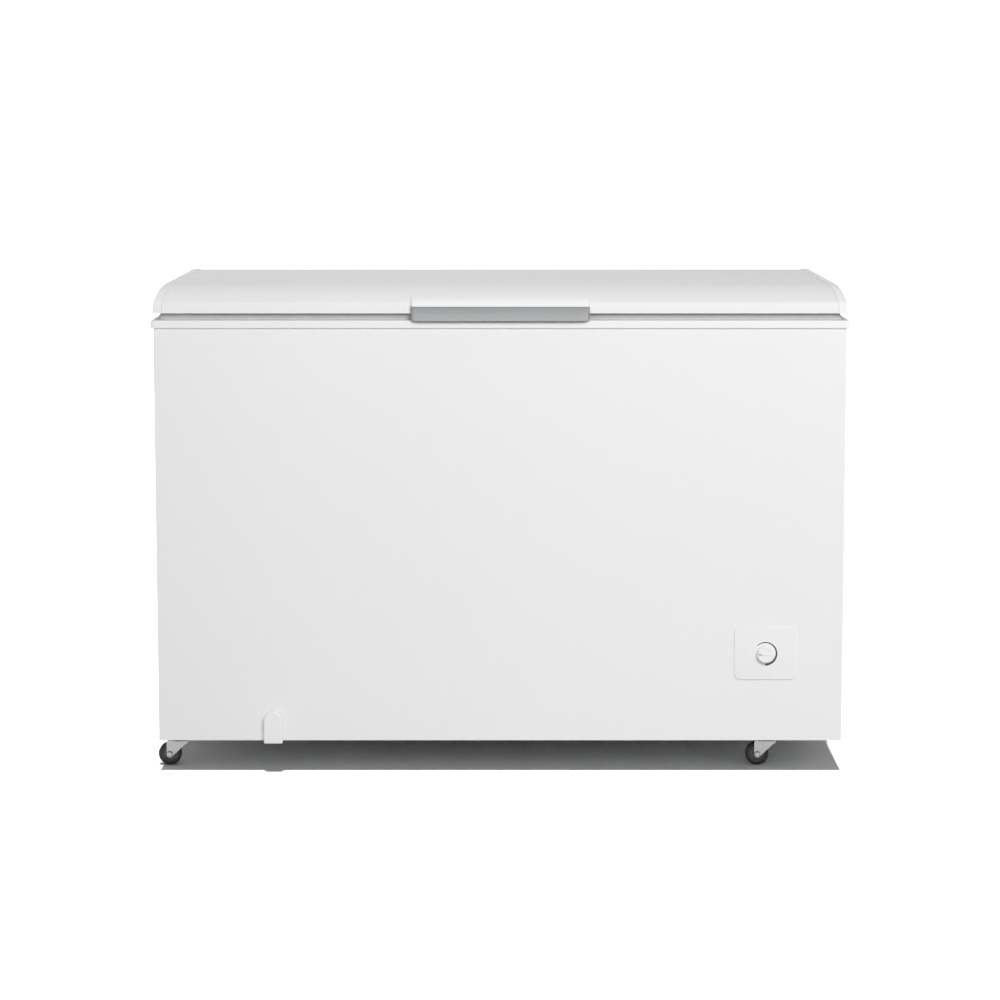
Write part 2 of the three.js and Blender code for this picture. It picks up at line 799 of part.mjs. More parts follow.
function rearCover() {
  const face = cabinetRear + gap;
  const outline = roundedRect(
    serviceLeft - serviceOverlap, serviceRight + serviceOverlap, coverLow, serviceTop + serviceOverlap,
    coverCorner,
  );
  const slots = [];
  const highest = serviceTop - 2 * coverSlotHeight;
  for (let z = serviceBottom + coverSlotFoot; z < highest; z += coverSlotPitchZ) {
    for (let x = serviceLeft + coverSlotInset; x + coverSlotWidth < serviceRight; x += coverSlotPitchX) {
      slots.push(block(x, x + coverSlotWidth, face - 1, face + coverThickness + 1, z, z + coverSlotHeight));
    }
  }
  return cut(
    prism('y', outline, face, face + coverThickness, { curveSegments: 2 }),
    rod('y', glandX, glandZ, glandNeckRadius + gap, face - 1, face + coverThickness + 1),
    ...slots,
  );
}

function cordGland() {
  const face = cabinetRear + gap;
  const outer = face + coverThickness + gap;
  return cut(
    join(
      rod('y', glandX, glandZ, glandNeckRadius, face - glandFlange, outer + 1),
      rod('y', glandX, glandZ, glandRadius, outer, outer + glandFlange),
      rod('y', glandX, glandZ, glandNeckRadius - 1, outer + 1, outer + glandFlange + glandSnout),
    ),
    rod('y', glandX, glandZ, glandBore, face - glandFlange - 1, outer + glandFlange + glandSnout + 1),
  );
}

freezer.add(
  piece('compressor_tray', compressorTray(), galvanised),
  piece('compressor', compressor(), compressorBlack),
  piece('terminal_cover', terminalCover(), blackPlastic),
  piece('suction_pipe', suctionPipe(), copper),
  piece('discharge_pipe', dischargePipe(), copper),
  piece('filter_drier', filterDrier(), copper),
  piece('side_grille', sideGrille(), whitePlastic),
  piece('rear_cover', rearCover(), galvanised),
  piece('cord_gland', cordGland(), blackPlastic),
);

const grommetPlaces = {
  front_left: [-1, -1], front_right: [1, -1], rear_left: [-1, 1], rear_right: [1, 1],
};
for (const [place, [sideX, sideY]] of Object.entries(grommetPlaces)) {
  const x = compressorX + sideX * (compressorRadiusX - grommetInsetX);
  const y = compressorY + sideY * (compressorRadiusY - grommetInsetY);
  const grommet = rod('z', x, y, grommetRadius, trayTop + gap, trayTop + gap + grommetHeight);
  freezer.add(piece(`compressor_grommet_${place}`, grommet, blackRubber));
}

// ---------------------------------------------------------------- thermostat and its control

const plateFace = cabinetFront - gap - controlPlateThickness;
const knobBack = plateFace - knobClearance;
const knobFace = knobBack - knobDepth;
const spindleFront = knobFace + knobFaceWall;
const spindleRear = insideFront + thermostatSize.y / 2;

function controlPlate() {
  const [w, h] = [controlPlateWidth / 2, controlPlateHeight / 2];
  const outline = roundedRect(controlX - w, controlX + w, controlZ - h, controlZ + h, controlPlateCorner);
  return cut(
    prism('y', outline, plateFace, cabinetFront - gap, { bevel: controlPlateEdge }),
    rod('y', controlX, controlZ, spindleRadius + spindleClearance, plateFace - 1, cabinetFront),
  );
}

function thermostat() {
  const { x: w, y: d, z: h } = thermostatSize;
  return cut(
    block(controlX - w / 2, controlX + w / 2, insideFront, insideFront + d, controlZ - h / 2, controlZ + h / 2),
    rod('y', controlX, controlZ, spindleRadius + gap, cabinetFront, spindleRear + gap),
  );
}

function controlKnob() {
  const circle = new THREE.Shape();
  circle.absarc(controlX, controlZ, knobRadius, 0, 2 * Math.PI);
  return cut(
    prism('y', circle, knobFace, knobBack, { curveSegments: 14, bevel: knobEdge, bevelSegments: 2 }),
    rod('y', controlX, controlZ, spindleRadius + gap, spindleFront - gap, knobBack + 1),
    block(
      controlX - knobRadius, controlX - knobRadius + knobPointerLength, knobFace - 1,
      knobFace + knobPointerDepth, controlZ - knobPointerWidth / 2, controlZ + knobPointerWidth / 2,
    ),
  );
}

const spindle = rod('y', controlX, controlZ, spindleRadius, spindleFront, spindleRear);
freezer.add(
  piece('control_plate', controlPlate(), whitePlastic),
  piece('control_knob', controlKnob(), whitePlastic),
  piece('thermostat_spindle', spindle, zincPlate),
  piece('thermostat', thermostat(), blackPlastic),
  piece('thermostat_bulb_tube', pipe(bulbRoute, bulbRadius), copper),
);

// ---------------------------------------------------------------- drain

/** An upright strip with a round top, in (x, z). */
function archOutline(width, bottom, top) {
  const outline = new THREE.Shape();
  outline.moveTo(drainX - width / 2, bottom);
  outline.lineTo(drainX + width / 2, bottom);
  outline.absarc(drainX, top - width / 2, width / 2, 0, Math.PI);
  return outline;
}

function drainCap() {
  const bottom = underside - drainCapDrop;
  const top = bottom + drainCapHeight;
  const front = cabinetFront - drainCapDepth;
  const inner = archOutline(drainCapWidth - 2 * drainCapWall, bottom - 10, top - drainCapWall);
  const shell = cut(
    prism(
      'y', archOutline(drainCapWidth, bottom, top), front, cabinetFront + drainCapDepth,
      { curveSegments: 5, bevel: drainCapEdge, bevelSegments: 2 },
    ),
    block(-halfWidth, halfWidth, cabinetFront - gap, cabinetFront + 2 * drainCapDepth, 0, collarTop),
    prism('y', inner, front + drainCapWall, cabinetFront + drainCapDepth + 1, { curveSegments: 5 }),
  );
  const stubEnd = cabinetFront + drainCapStub;
  const stub = rod('y', drainX, drainZ, drainTubeBore - gap, front + drainCapWall / 2, stubEnd);
  return join(shell, stub);
}

function drainPlug() {
  const seat = tankFloor + gap;
  return join(
    rod('z', drainX, drainY, drainPlugRadius, seat, seat + drainPlugHead, 20),
    rod('z', drainX, drainY, drainTubeBore - gap, seat - drainPlugStem, seat + 1),
  );
}

const drainTube = pipe(drainRoute, drainTubeRadius, { bore: drainTubeBore, bend: drainBend, sides: drainSides });
freezer.add(
  piece('drain_tube', drainTube, whitePlastic),
  piece('drain_cap', drainCap(), whitePlastic),
  piece('drain_plug', drainPlug(), blackRubber),
);

// ---------------------------------------------------------------- castors

const forkInner = wheelWidth / 2 + forkSideClearance;
const forkOuter = forkInner + forkPlate;

function castorPlate() {
  const [l, w] = [castorPlateLength / 2, castorPlateWidth / 2];
  const pinFoot = crownBottom - gap;
  const outline = roundedRect(-l, l, -w, w, castorPlateCorner);
  return join(
    prism('z', outline, castorPlateTop - castorPlateThickness, castorPlateTop, { curveSegments: 1 }),
    rod('z', 0, 0, raceRadius, crownTop + gap, castorPlateTop - 1),
    rod('z', 0, 0, kingpinRadius, pinFoot - 1, crownTop + 1, 8),
    rod('z', 0, 0, rivetHeadRadius, pinFoot - 2, pinFoot),
  );
}

/** Crown disc and two cheeks that run down and back to the axle. */
function castorFork() {
  const cheek = new THREE.Shape();
  cheek.moveTo(crownRadius, crownTop);
  cheek.lineTo(-crownRadius, crownTop);
  cheek.lineTo(-castorTrail - forkTipRadius, wheelRadius);
  cheek.absarc(-castorTrail, wheelRadius, forkTipRadius, Math.PI, 2 * Math.PI);
  cheek.lineTo(crownRadius, crownBottom);
  return cut(
    join(
      rod('z', 0, 0, crownRadius, crownBottom, crownTop, 20),
      prism('y', cheek, -forkOuter, -forkInner),
      prism('y', cheek, forkInner, forkOuter),
    ),
    rod('z', 0, 0, kingpinRadius + gap, crownBottom - 1, crownTop + 1, 8),
    rod('y', -castorTrail, wheelRadius, axleRadius + gap, -forkOuter - 1, forkOuter + 1, 8),
  );
}

/** Tyre and hub in one, with a flat between two edges of the polygon on the floor. */
function castorWheel() {
  const round = wheelRadius / Math.cos(Math.PI / wheelSides);
  const half = wheelWidth / 2;
  const bore = axleRadius + gap;
  const profile = [
    [bore, -half], [0.93 * round, -half], [round, -half + 3], [round, half - 3], [0.93 * round, half],
    [bore, half], [bore, -half],
  ];
  const geometry = turned(profile, wheelSides);
  geometry.rotateZ(Math.PI / wheelSides);
  geometry.rotateX(Math.PI / 2);
  geometry.translate(-castorTrail, 0, wheelRadius);
  return toSolid(geometry);
}

function castorAxle() {
  const headIn = forkOuter + gap;
  return join(
    rod('y', -castorTrail, wheelRadius, axleRadius, -headIn - 1, headIn + 1, 8),
    rod('y', -castorTrail, wheelRadius, axleHeadRadius, -headIn - 2, -headIn),
    rod('y', -castorTrail, wheelRadius, axleHeadRadius, headIn, headIn + 2),
  );
}

const castorPlaces = {
  front_left: [-halfWidth + castorInsetLeft, cabinetFront + castorInsetFront],
  front_right: [halfWidth - castorInsetRight, cabinetFront + castorInsetFront],
  rear_left: [-halfWidth + castorInsetLeft, cabinetRear - castorInsetRear],
  rear_right: [halfWidth - castorInsetRight, cabinetRear - castorInsetRear],
};
for (const [place, [x, y]] of Object.entries(castorPlaces)) {
  const castor = new THREE.Group();
  castor.position.set(x, y, 0);
  castor.add(
    piece(`castor_plate_${place}`, castorPlate(), zincPlate),
    piece(`castor_fork_${place}`, castorFork(), zincPlate),
    piece(`castor_wheel_${place}`, castorWheel(), blackRubber),
    piece(`castor_axle_${place}`, castorAxle(), zincPlate),
  );
  freezer.add(castor);
}

// ---------------------------------------------------------------- lid

/** The lid's side outline in (y, z), grown outwards: upright face, crease, long arc, flat top, rear. */
function lidProfile(grow, bottom) {
  const arcY = lidFront + lidSlopeDepth;
  const drop = lidHeight - lidFaceHeight;
  const arcRadius = (lidSlopeDepth ** 2 + drop ** 2) / (2 * drop);
  const arcZ = lidTop - arcRadius;
  const noseY = lidFront + lidNose;
  const noseZ = arcZ + Math.sqrt((arcRadius - lidNose) ** 2 - (noseY - arcY) ** 2);
  const meet = Math.atan2(noseZ - arcZ, noseY - arcY);
  const backY = lidRear - lidBackRound;
  const backZ = lidTop - lidBackRound;
  const outline = new THREE.Shape();
  outline.moveTo(lidFront - grow, bottom);
  outline.lineTo(lidFront - grow, noseZ);
  outline.absarc(noseY, noseZ, lidNose + grow, Math.PI, meet, true);
  outline.absarc(arcY, arcZ, arcRadius + grow, meet, Math.PI / 2, true);
  outline.absarc(backY, backZ, lidBackRound + grow, Math.PI / 2, 0, true);
  outline.lineTo(lidRear + grow, bottom);
  return outline;
}

const lidArc = { curveSegments: 4 };
const lidPrism = (grow, bottom, left, right) => prism('x', lidProfile(grow, bottom), left, right, lidArc);

const lidSkin = cut(
  lidPrism(0, lidBottom, -skinX, skinX),
  lidPrism(-sheet, lidBottom - 1, -skinX - 1, skinX + 1),
);

/** A moulded end with its pocket towards the foam; side is -1 at the left and 1 at the right. */
function lidEndCap(side) {
  const inner = side * (halfWidth - endCapWidth);
  const ordered = (a, b) => [Math.min(a, b), Math.max(a, b)];
  return cut(
    lidPrism(endCapProud, lidBottom, ...ordered(inner, side * halfWidth)),
    lidPrism(-endCapWall, lidBottom - 1, ...ordered(inner - side, side * (halfWidth - endCapWall))),
  );
}

/** Plan outline of the lid's tray, inside the liner's opening. */
function plugPlan(inset) {
  const in_ = lidPlugInset + inset;
  return roundedRect(-tankX + in_, tankX - in_, tankFront + in_, tankRear - in_, lidPlugCorner - inset);
}

const plugBottom = collarTop - lidPlugDepth;
const linerX = halfWidth - endCapWall - gap;

function lidLiner() {
  const edge = endCapWall + gap;
  const rim = block(-linerX, linerX, lidFront + edge, lidRear - edge, lidBottom, lidBottom + lidLinerWall);
  return cut(
    join(rim, prism('z', plugPlan(0), plugBottom, lidBottom + 1)),
    prism('z', plugPlan(lidLinerWall), plugBottom + lidLinerWall, lidTop),
  );
}

function lidFoam() {
  const low = lidBottom + lidLinerWall + gap;
  return join(
    lidPrism(-sheet - gap, low, -skinX, skinX),
    lidPrism(-endCapWall - gap, low, -linerX, linerX),
    prism('z', plugPlan(lidLinerWall + gap), plugBottom + lidLinerWall + gap, low + 1),
  );
}

const gasketPlan = (inset) => cabinetPlan(-inset, gasketCorner);
const lidGasket = cut(
  prism('z', gasketPlan(gasketInset), collarTop + gap, lidBottom - gap),
  prism('z', gasketPlan(gasketInset + gasketWidth), collarTop, lidBottom),
);

freezer.add(
  piece('lid_skin', lidSkin, whitePaint),
  piece('lid_end_cap_left', lidEndCap(-1), whitePlastic),
  piece('lid_end_cap_right', lidEndCap(1), whitePlastic),
  piece('lid_liner', lidLiner(), whitePlastic),
  piece('lid_foam', lidFoam(), foamYellow),
  piece('lid_gasket', lidGasket, gasketGrey),
);

// ---------------------------------------------------------------- handle

const gripFront = cabinetFront - handleReach;
const gripBottom = lidBottom - gripDrop;
const gripTop = gripBottom + gripHeight;
const lidClear = lidFront - gap;

/** Plan outline of the handle in (x, y), with elliptic front corners, shrunk by an inset. */
function handlePlan(inset, back) {
  const half = handleLength / 2 - inset;
  const front = gripFront + inset;
  const across = handleEndRound - inset;
  const along = across * handleEndDepth;
  const outline = new THREE.Shape();
  outline.moveTo(-half, back);
  outline.lineTo(-half, front + along);
  outline.absellipse(-half + across, front + along, across, along, Math.PI, 1.5 * Math.PI, false);
  outline.absellipse(half - across, front + along, across, along, 1.5 * Math.PI, 2 * Math.PI, false);
  outline.lineTo(half, back);
  return outline;
}

function handleGrip() {
  const legBack = cabinetFront - collarProud - legClearance;
  return cut(
    prism('z', handlePlan(0, lidClear), gripBottom, gripTop),
    prism('z', handlePlan(handleWall, lidClear + 1), gripBottom - 1, gripTop - handleWall),
    block(-handleLength, handleLength, legBack, lidClear + 1, gripBottom - 1, lidBottom),
  );
}

function handleBody() {
  const low = gripTop + gap;
  const back = lidFront + handleRun;
  const front = gripFront + handleWall;
  const brow = new THREE.Shape();
  brow.moveTo(lidFront + lidNose, low);
  brow.lineTo(front, low);
  const meetZ = lidBottom + lidFaceHeight + browHeight;
  brow.quadraticCurveTo(front, low + browRise, lidFront + browRun, meetZ);
  const overLid = cut(
    lidPrism(handleSkin, lidBottom, -handleLength / 2, handleLength / 2),
    block(-handleLength, handleLength, back, lidRear + 10, 0, 2 * lidTop),
  );
  const whole = join(overLid, prism('x', brow, -handleLength / 2, handleLength / 2, { curveSegments: 6 }));
  return cut(
    whole.intersect(prism('z', handlePlan(0, back + 1), low, lidTop + 10)),
    lidPrism(gap, lidBottom, -handleLength, handleLength),
  );
}

freezer.add(
  piece('handle_body', handleBody(), whitePlastic),
  piece('handle_grip', handleGrip(), greyPlastic),
);

// ---------------------------------------------------------------- hinges

const hingeY = cabinetRear + hingeReach - knuckleRadius;
const hingeZ = (collarTop + lidBottom) / 2;
const pinBore = hingePinRadius + gap;
const bodyFace = cabinetRear + gap - hingeY;
const webTop = collarTop - collarHeight - webClearance - hingeZ;
const webBottom = webTop - leafThickness;
const riserFront = -knuckleRadius;

function hingeBodyBracket() {
  const half = knuckleLength / 2;
  const riserRear = riserFront + leafThickness;
  return cut(
    join(
      block(-leafWidth / 2, leafWidth / 2, bodyFace, bodyFace + leafThickness, webTop - bodyLeafHeight, webTop),
      block(-half, half, bodyFace, riserRear, webBottom, webTop),
      block(-half, half, riserFront, riserRear, webBottom, 0),
      rod('x', 0, 0, knuckleRadius, -half, half, 20),
    ),
    rod('x', 0, 0, pinBore, -half - 1, half + 1),
  );
}

function hingeLidBracket() {
  const face = lidRear + gap - hingeY;
  const low = knuckleRadius + lidLeafRise;
  const inner = knuckleLength / 2 + gap;
  const outer = inner + outerKnuckleLength;
  const sides = [[-outer, -inner], [inner, outer]];
  return cut(
    join(
      block(-leafWidth / 2, leafWidth / 2, face, face + leafThickness, low, low + lidLeafHeight),
      ...sides.map(([from, to]) => block(from, to, face, face + leafThickness, 0, low + 1)),
      ...sides.map(([from, to]) => rod('x', 0, 0, knuckleRadius, from, to, 20)),
    ),
    rod('x', 0, 0, pinBore, -outer - 1, outer + 1),
  );
}

function hingePin() {
  const end = knuckleLength / 2 + gap + outerKnuckleLength + gap;
  return join(
    rod('x', 0, 0, hingePinRadius, -end - 1, end + 1),
    rod('x', 0, 0, pinHeadRadius, -end - pinHeadHeight, -end),
    rod('x', 0, 0, pinHeadRadius, end, end + pinHeadHeight),
  );
}

for (const [place, side] of Object.entries({ left: -1, right: 1 })) {
  const hinge = new THREE.Group();
  hinge.position.set(side * hingeSpread / 2, hingeY, hingeZ);
  hinge.add(
    piece(`hinge_body_bracket_${place}`, hingeBodyBracket(), zincPlate),
    piece(`hinge_lid_bracket_${place}`, hingeLidBracket(), zincPlate),
    piece(`hinge_pin_${place}`, hingePin(), zincPlate),
  );
  freezer.add(hinge);
}

export default freezer;
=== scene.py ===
"""Chest freezer, in metres, +Z up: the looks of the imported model, one section for each piece of it."""

from math import pi, radians

import bmesh
import bpy
import numpy as np
from mathutils import Euler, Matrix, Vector


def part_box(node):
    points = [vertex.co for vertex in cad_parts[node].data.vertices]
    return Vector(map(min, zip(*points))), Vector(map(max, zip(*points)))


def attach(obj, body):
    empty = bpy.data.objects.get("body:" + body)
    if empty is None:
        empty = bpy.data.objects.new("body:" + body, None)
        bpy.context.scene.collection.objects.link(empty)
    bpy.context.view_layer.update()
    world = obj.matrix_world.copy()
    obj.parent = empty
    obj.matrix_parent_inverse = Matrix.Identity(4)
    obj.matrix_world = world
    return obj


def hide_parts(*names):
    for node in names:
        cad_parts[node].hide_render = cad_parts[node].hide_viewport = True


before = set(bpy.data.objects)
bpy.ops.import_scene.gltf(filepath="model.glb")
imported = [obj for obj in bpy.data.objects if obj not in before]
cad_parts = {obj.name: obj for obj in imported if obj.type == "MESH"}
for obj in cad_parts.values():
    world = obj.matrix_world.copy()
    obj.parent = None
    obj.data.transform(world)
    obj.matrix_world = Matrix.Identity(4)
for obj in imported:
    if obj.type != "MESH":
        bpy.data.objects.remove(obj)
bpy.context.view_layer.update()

scene = bpy.context.scene

# ------------------------------------------------------------------ studio
# A long lens at chest height, looking a little down at the front. The room is white, soft boxes light the
# object from the front, the back and both sides, and an overhead lamp lights only the floor.

CAMERA_PLACE = (0.0092, -5.366, 1.283)
CAMERA_TILT = radians(6.34)
CAMERA_LENS, CAMERA_SENSOR = 95.7, 36.0
CAMERA_SHIFT = (-0.0051, -0.1)
FLOOR_REACH = 60.0
ROOM_LIGHT = 0.35
ROOM_SEEN = 1.04

camera = bpy.data.cameras.new("camera")
camera.lens, camera.sensor_width = CAMERA_LENS, CAMERA_SENSOR
camera.shift_x, camera.shift_y = CAMERA_SHIFT
camera.clip_end = 200.0
scene.camera = bpy.data.objects.new("camera", camera)
scene.camera.location = CAMERA_PLACE
scene.camera.rotation_euler = Euler((pi / 2 - CAMERA_TILT, 0, 0))
scene.collection.objects.link(scene.camera)
scene.view_settings.view_transform = "Standard"


def soft_box(name, place, aim, size, watts, lit, shines=True):
    """A rectangular lamp that faces the point aim; lit says what it lights, and shines if it is reflected."""
    lamp = bpy.data.lights.new(name, "AREA")
    lamp.shape, (lamp.size, lamp.size_y), lamp.energy = "RECTANGLE", size, watts
    holder = bpy.data.objects.new(name, lamp)
    holder.location = place
    holder.rotation_euler = (Vector(aim) - Vector(place)).to_track_quat("-Z", "Y").to_euler()
    scene.collection.objects.link(holder)
    holder.light_linking.receiver_collection = lit
    holder.visible_glossy = shines


class Value:
    """A shader socket. Sums on it add their Math nodes, and add() puts in any other node."""

    def __init__(self, tree, socket):
        self.tree, self.socket = tree, socket

    def add(self, kind, settings, inputs, out=0):
        """A node of a kind: its settings first, then the values or links of its inputs; gives one output."""
        node = self.tree.nodes.new(kind)
        for key, value in settings.items():
            if key == "stops":
                node.color_ramp.elements[0].position, node.color_ramp.elements[-1].position = 0, 1
                while len(node.color_ramp.elements) < len(value):
                    node.color_ramp.elements.new(0.5)
                for element, (position, level) in zip(node.color_ramp.elements, value, strict=True):
                    element.position, element.color = position, (level, level, level, 1)
            else:
                setattr(node, key, value)
        for key, value in inputs.items():
            if isinstance(value, Value):
                self.tree.links.new(value.socket, node.inputs[key])
            else:
                node.inputs[key].default_value = value
        return Value(self.tree, node.outputs[out]) if node.outputs else None

    def math(self, operation, first, second=0.0):
        """A Math node on two values, of which either may be a plain number."""
        return self.add("ShaderNodeMath", {"operation": operation}, {0: first, 1: second})

    def __add__(self, other):
        return self.math("ADD", self, other)

    def __sub__(self, other):
        return self.math("SUBTRACT", self, other)

    def __rsub__(self, other):
        return self.math("SUBTRACT", other, self)

    def __mul__(self, other):
        return self.math("MULTIPLY", self, other)

    def __lt__(self, other):
        return self.math("LESS_THAN", self, other)

    def __gt__(self, other):
        return self.math("GREATER_THAN", self, other)

    __radd__, __rmul__ = __add__, __mul__

    def noise(self, scale, detail=2.0, roughness=0.5):
        """Cloudy noise from 0 to 1 over these coordinates; scale is in cycles a metre."""
        inputs = {"Vector": self, "Scale": scale, "Detail": detail, "Roughness": roughness}
        return self.add("ShaderNodeTexNoise", {}, inputs)

    def stretched(self, x, y, z):
        """These coordinates with each axis multiplied, to draw a pattern out along one of them."""
        return self.add("ShaderNodeMapping", {}, {"Vector": self, "Scale": (x, y, z)})

    def part(self, axis):
        """One of the coordinates: 0, 1 or 2 for x, y or z."""
        return self.add("ShaderNodeSeparateXYZ", {}, {0: self}, axis)

    def ramp(self, *stops):
        """This value through a ramp of (position, grey) stops."""
        return self.add("ShaderNodeValToRGB", {"stops": stops}, {0: self})

    def tint(self, low, high):
        """A colour from low to high as this value goes from 0 to 1."""
        ends = [end if isinstance(end, Value) else (*end, 1) for end in (low, high)]
        return self.add("ShaderNodeMix", {"data_type": "RGBA"}, {0: self, 6: ends[0], 7: ends[1]}, 2)

    def bump(self, strength, distance):
        """The normal of a surface that this value lifts by up to a distance in metres."""
        return self.add("ShaderNodeBump", {}, {"Strength": strength, "Distance": distance, "Height": self})


def finish(name, look):
    """A material: look(place) takes the Object coordinates and gives the Principled shader's inputs."""
    material = bpy.data.materials.new(name)
    material.use_nodes = True
    tree = material.node_tree
    tree.nodes.clear()
    place = Value(tree, tree.nodes.new("ShaderNodeTexCoord").outputs["Object"])
    shader = place.add("ShaderNodeBsdfPrincipled", {}, look(place))
    place.add("ShaderNodeOutputMaterial", {}, {0: shader})
    return material


def grey(level, warm=0.0):
    """A near-neutral linear colour; warm lifts the red and lowers the blue by that share."""
    return (level * (1 + warm), level, level * (1 - warm))


def studio_floor(place):
    """Pale matt floor, clouded a little so that it doesn't look printed."""
    cloud = place.noise(1.3, 4)
    return {"Base Color": cloud.tint(grey(0.93), grey(0.96)), "Roughness": 0.9, "Specular IOR Level": 0.1}


def wide_floor(name, z):
    """A square of floor that reaches past the horizon's haze on every side."""
    mesh = bpy.data.meshes.new(name)
    corners = [(x * FLOOR_REACH, y * FLOOR_REACH, z) for x, y in ((-1, -1), (1, -1), (1, 1), (-1, 1))]
    mesh.from_pydata(corners, [], [(0, 1, 2, 3)])
    mesh.materials.append(finish(name, studio_floor))
    made = bpy.data.objects.new(name, mesh)
    scene.collection.objects.link(made)
    return made


# The floor that is seen takes the overhead lamp, and a dimmer one just under it gives the light that the
# floor throws back, so that a floor bright enough to lose its horizon doesn't wash out the object.
floor, dim_floor = wide_floor("studio_floor", 0.0), wide_floor("dim_floor", -0.001)
floor.visible_diffuse = floor.visible_shadow = False
floor_only, object_only = (bpy.data.collections.new(name) for name in ("floor_only", "object_only"))
floor_only.objects.link(floor)
for number, kept_out in enumerate((floor, dim_floor)):
    object_only.objects.link(kept_out)
    object_only.collection_objects[number].light_linking.link_state = "EXCLUDE"

soft_box("key", (1.15, -4.03, 2.55), (0.1, -0.33, 0.7), (2.6, 1.2), 140, object_only, shines=False)
soft_box("strip", (-2.4, -3.2, 1.9), (0, -0.3, 0.6), (0.5, 1.8), 5, object_only)
soft_box("back_light", (-0.6, 1.9, 3.9), (0, 0.1, 0.8), (2.8, 1.6), 66, object_only, shines=False)
for side in (-1, 1):
    soft_box("side_light", (side * 4.2, 0.25, 0.7), (0, 0.1, 0.5), (2.2, 1.4), 50, object_only, shines=False)
sky = bpy.data.lights.new("overhead", "SUN")
sky.energy, sky.angle = 6.0, radians(6)
overhead = bpy.data.objects.new("overhead", sky)
overhead.rotation_euler = Euler((radians(10), 0, 0))
overhead.light_linking.receiver_collection = floor_only
scene.collection.objects.link(overhead)

scene.world = bpy.data.worlds.new("white_room")
scene.world.use_nodes = True
room = scene.world.node_tree
room.nodes.clear()
seen = Value(room, room.nodes.new("ShaderNodeLightPath").outputs["Is Camera Ray"])
strength = seen * (ROOM_SEEN - ROOM_LIGHT) + ROOM_LIGHT
lit = seen.add("ShaderNodeBackground", {}, {"Color": (1, 1, 1, 1), "Strength": strength})
lit.add("ShaderNodeOutputWorld", {}, {0: lit})

# ------------------------------------------------------------------ outer wrapper
# One sheet of prepainted steel, 1 mm, bent round the left side, front and right side. It is roll formed,
# punched for the dial, the drain and the grille, and foamed in place.

SHEET = 0.001
WRAPPER_BEND = 0.004
GRILLE_LAP = 0.014
GRILLE_TOP_LAP = 0.024
DRAIN_BORE = 0.0083
DIAL_BORE = 0.005


def shell(name, sheets, caps=(), angle=35, closed=True):
    """A mesh object from grids of points, each (rows, columns, 3) or a grid with a mask of its kept squares.

    caps are loops that become one flat face each. Points that coincide become one, which closes seams and
    poles, and faces are turned to point out. Edges sharper than angle degrees stay sharp.
    """
    spots, faces, start = [], [], 0
    for sheet in sheets:
        grid, keep = sheet if isinstance(sheet, tuple) else (sheet, True)
        index = np.arange(start, start + grid.shape[0] * grid.shape[1]).reshape(grid.shape[:2])
        quads = np.stack([index[:-1, :-1], index[:-1, 1:], index[1:, 1:], index[1:, :-1]], -1)
        faces += quads[np.broadcast_to(keep, quads.shape[:2])].tolist()
        spots.append(grid.reshape(-1, 3))
        start += index.size
    for cap in caps:
        faces.append(list(range(start, start + len(cap))))
        spots.append(np.asarray(cap))
        start += len(cap)
    mesh = bpy.data.meshes.new(name)
    mesh.from_pydata(np.concatenate(spots).tolist(), [], faces)
    work = bmesh.new()
    work.from_mesh(mesh)
    bmesh.ops.remove_doubles(work, verts=work.verts, dist=2e-6)
    bmesh.ops.dissolve_degenerate(work, edges=work.edges, dist=1e-7)
    loose = [v for v in work.verts if not v.link_faces]
    bmesh.ops.delete(work, geom=loose, context="VERTS")
    if closed:
        bmesh.ops.recalc_face_normals(work, faces=work.faces)
    work.to_mesh(mesh)
    work.free()
    mesh.shade_smooth()
    mesh.set_sharp_from_angle(angle=radians(angle))
    made = bpy.data.objects.new(name, mesh)
    scene.collection.objects.link(made)
    return made


def fit(made, material, slot, body, *nodes):
    """The piece gets its material, moves with a body, and stands for those nodes. The slot argument is not
    used.
    """
    made.data.materials.append(material)
    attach(made, body)
    if nodes:
        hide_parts(*nodes)
    return made


def edges(made, width, segments=2, angle=30):
    """A small rounding on every edge sharper than angle degrees."""
    bevel = made.modifiers.new("edges", "BEVEL")
    bevel.width, bevel.segments, bevel.limit_method = width, segments, "ANGLE"
    bevel.angle_limit = radians(angle)
    bevel.harden_normals = True
    return made


def points(x, y, z):
    """Three coordinates, each a number or an array, as one array of points."""
    return np.stack(np.broadcast_arrays(x, y, z), -1)


